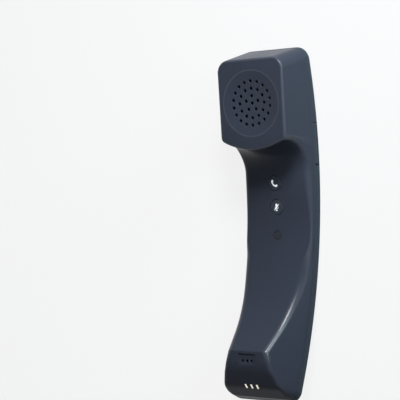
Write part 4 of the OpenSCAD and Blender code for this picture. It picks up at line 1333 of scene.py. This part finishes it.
# Charging contacts: plated plates with rounded tops
for k, side in enumerate(("left", "middle", "right")):
    layers = [
        round_rect(CONTACT_W - 2 * i, CONTACT_L - 2 * i, CONTACT_CORNER_R - i * 0.6, CONTACT_PROUD + up)
        for i, up in ((0.22, 0.0), (0.12, -0.02), (0.04, -0.07), (0, -0.14))
    ]
    layers.append(round_rect(CONTACT_W, CONTACT_L, CONTACT_CORNER_R, CONTACT_BACK))
    place = at_crown(CONTACT_S) @ Matrix.Translation(((k - 1) * CONTACT_PITCH, 0, 0))
    plate = solid(f"contact_plate_{side}", *outline_solid(layers), place)
    dress(soften(plate), "contact_metal", f"charge_contact_{side}")

# Every solid that stays takes the finish of its slot
for part in frame["record"]["subparts"]:
    node = nodes[part["node"]]
    if not node.hide_render:
        node.data.materials.clear()
        node.data.materials.append(FINISHES[part["material_slot"]])

# Stage: a white floor that keeps a soft shadow, and plain studio light
WHITE_RAYS = ["Is Camera Ray", "Is Glossy Ray", "Is Transmission Ray"]


def stage_white(name, shadow):
    """A floor seen as white, with a share of its real shading, that is clear from below and to lamps."""
    f = Finish(name)
    cloud = f.noise(300, 2)
    white = f.blend(cloud, (0.49, 0.49, 0.49), (0.51, 0.51, 0.51))
    lit = f.node("BsdfDiffuse", {"Color": white, "Roughness": 1.0})
    flat = f.node("Emission", {"Color": (1, 1, 1), "Strength": 1.0})
    camera, glossy, through = [f.node("LightPath", {}, out=ray) for ray in WHITE_RAYS]
    seen = camera.math("MAXIMUM", glossy).math("MAXIMUM", through)
    shade = f.node("MixShader", {0: seen * (1 - shadow), 1: lit, 2: flat})
    clear = f.node("BsdfTransparent", {})
    behind = f.node("NewGeometry", {}, out="Backfacing")
    under = behind.math("MAXIMUM", f.node("LightPath", {}, out="Is Shadow Ray"))
    f.node("OutputMaterial", {"Surface": f.node("MixShader", {0: under, 1: shade, 2: clear})})
    return f.owner


def add_floor():
    reach = 3000
    corners = [(-reach, -reach, 0), (reach, -reach, 0), (reach, reach, 0), (-reach, reach, 0)]
    floor = new_piece("floor", corners, [(0, 1, 2, 3)])
    floor.data.materials.append(stage_white("white floor", 0.15))


def add_world(level, colour):
    """Soft light all round, which the camera and reflections see as white."""
    world = Shader(bpy.data.worlds.new("studio"))
    shown = world.node("Background", {"Color": colour, "Strength": level})
    white = world.node("Background", {"Color": (1, 1, 1), "Strength": 1.0})
    for ray in WHITE_RAYS:
        shown = world.node("MixShader", {0: world.node("LightPath", {}, out=ray), 1: shown, 2: white})
    world.node("OutputWorld", {"Surface": shown})
    bpy.context.scene.world = world.owner


def add_lamp(name, at, aim, size, power, colour, spread):
    """A soft box at a place, aimed at another."""
    lamp = bpy.data.lights.new(name, "AREA")
    lamp.shape = "RECTANGLE"
    lamp.size, lamp.size_y = size
    lamp.energy = power
    lamp.spread = radians(spread)
    lamp.color = colour
    obj = bpy.data.objects.new(name, lamp)
    bpy.context.scene.collection.objects.link(obj)
    obj.visible_camera = False
    obj.location = at
    obj.rotation_mode = "QUATERNION"
    obj.rotation_quaternion = (Vector(aim) - Vector(at)).to_track_quat("-Z", "Y")


def add_camera():
    camera = bpy.data.objects.new("camera", bpy.data.cameras.new("camera"))
    bpy.context.scene.collection.objects.link(camera)
    right = CAMERA_FORWARD.cross(CAMERA_UP).normalized()
    up = right.cross(CAMERA_FORWARD).normalized()
    turn = Matrix((right, up, -CAMERA_FORWARD.normalized())).transposed()
    camera.matrix_world = Matrix.Translation(CAMERA_AT * MM) @ turn.to_4x4()
    camera.data.lens = LENS
    camera.data.sensor_width = 36
    camera.data.clip_start = 0.01
    bpy.context.scene.camera = camera


add_floor()
add_world(0.1, (0.92, 0.96, 1))
# Each lamp's name, its place, aim and size in metres, power, colour, and spread in degrees
for lamp in (
    ("soft box", (0.17, 0.33, 0.31), (0, 0.05, 0.02), (0.1, 0.1), 2.5, (0.97, 0.98, 1), 180),
    ("edge strip", (0.4, 0.12, 0.31), (0.01, 0.06, 0.03), (0.03, 0.2), 0.7, (0.8, 0.95, 1), 180),
    ("cool side box", (0.4, 0.3, 0.14), (0.02, 0.09, 0.025), (0.16, 0.16), 0.25, (0.66, 0.92, 1), 70),
    ("lower soft box", (-0.4, 0.1, -0.8), (0, 0, 0.02), (0.5, 0.5), 22, (0.86, 0.96, 1), 180),
):
    add_lamp(*lamp)
add_camera()
bpy.context.scene.view_settings.view_transform = "Standard"
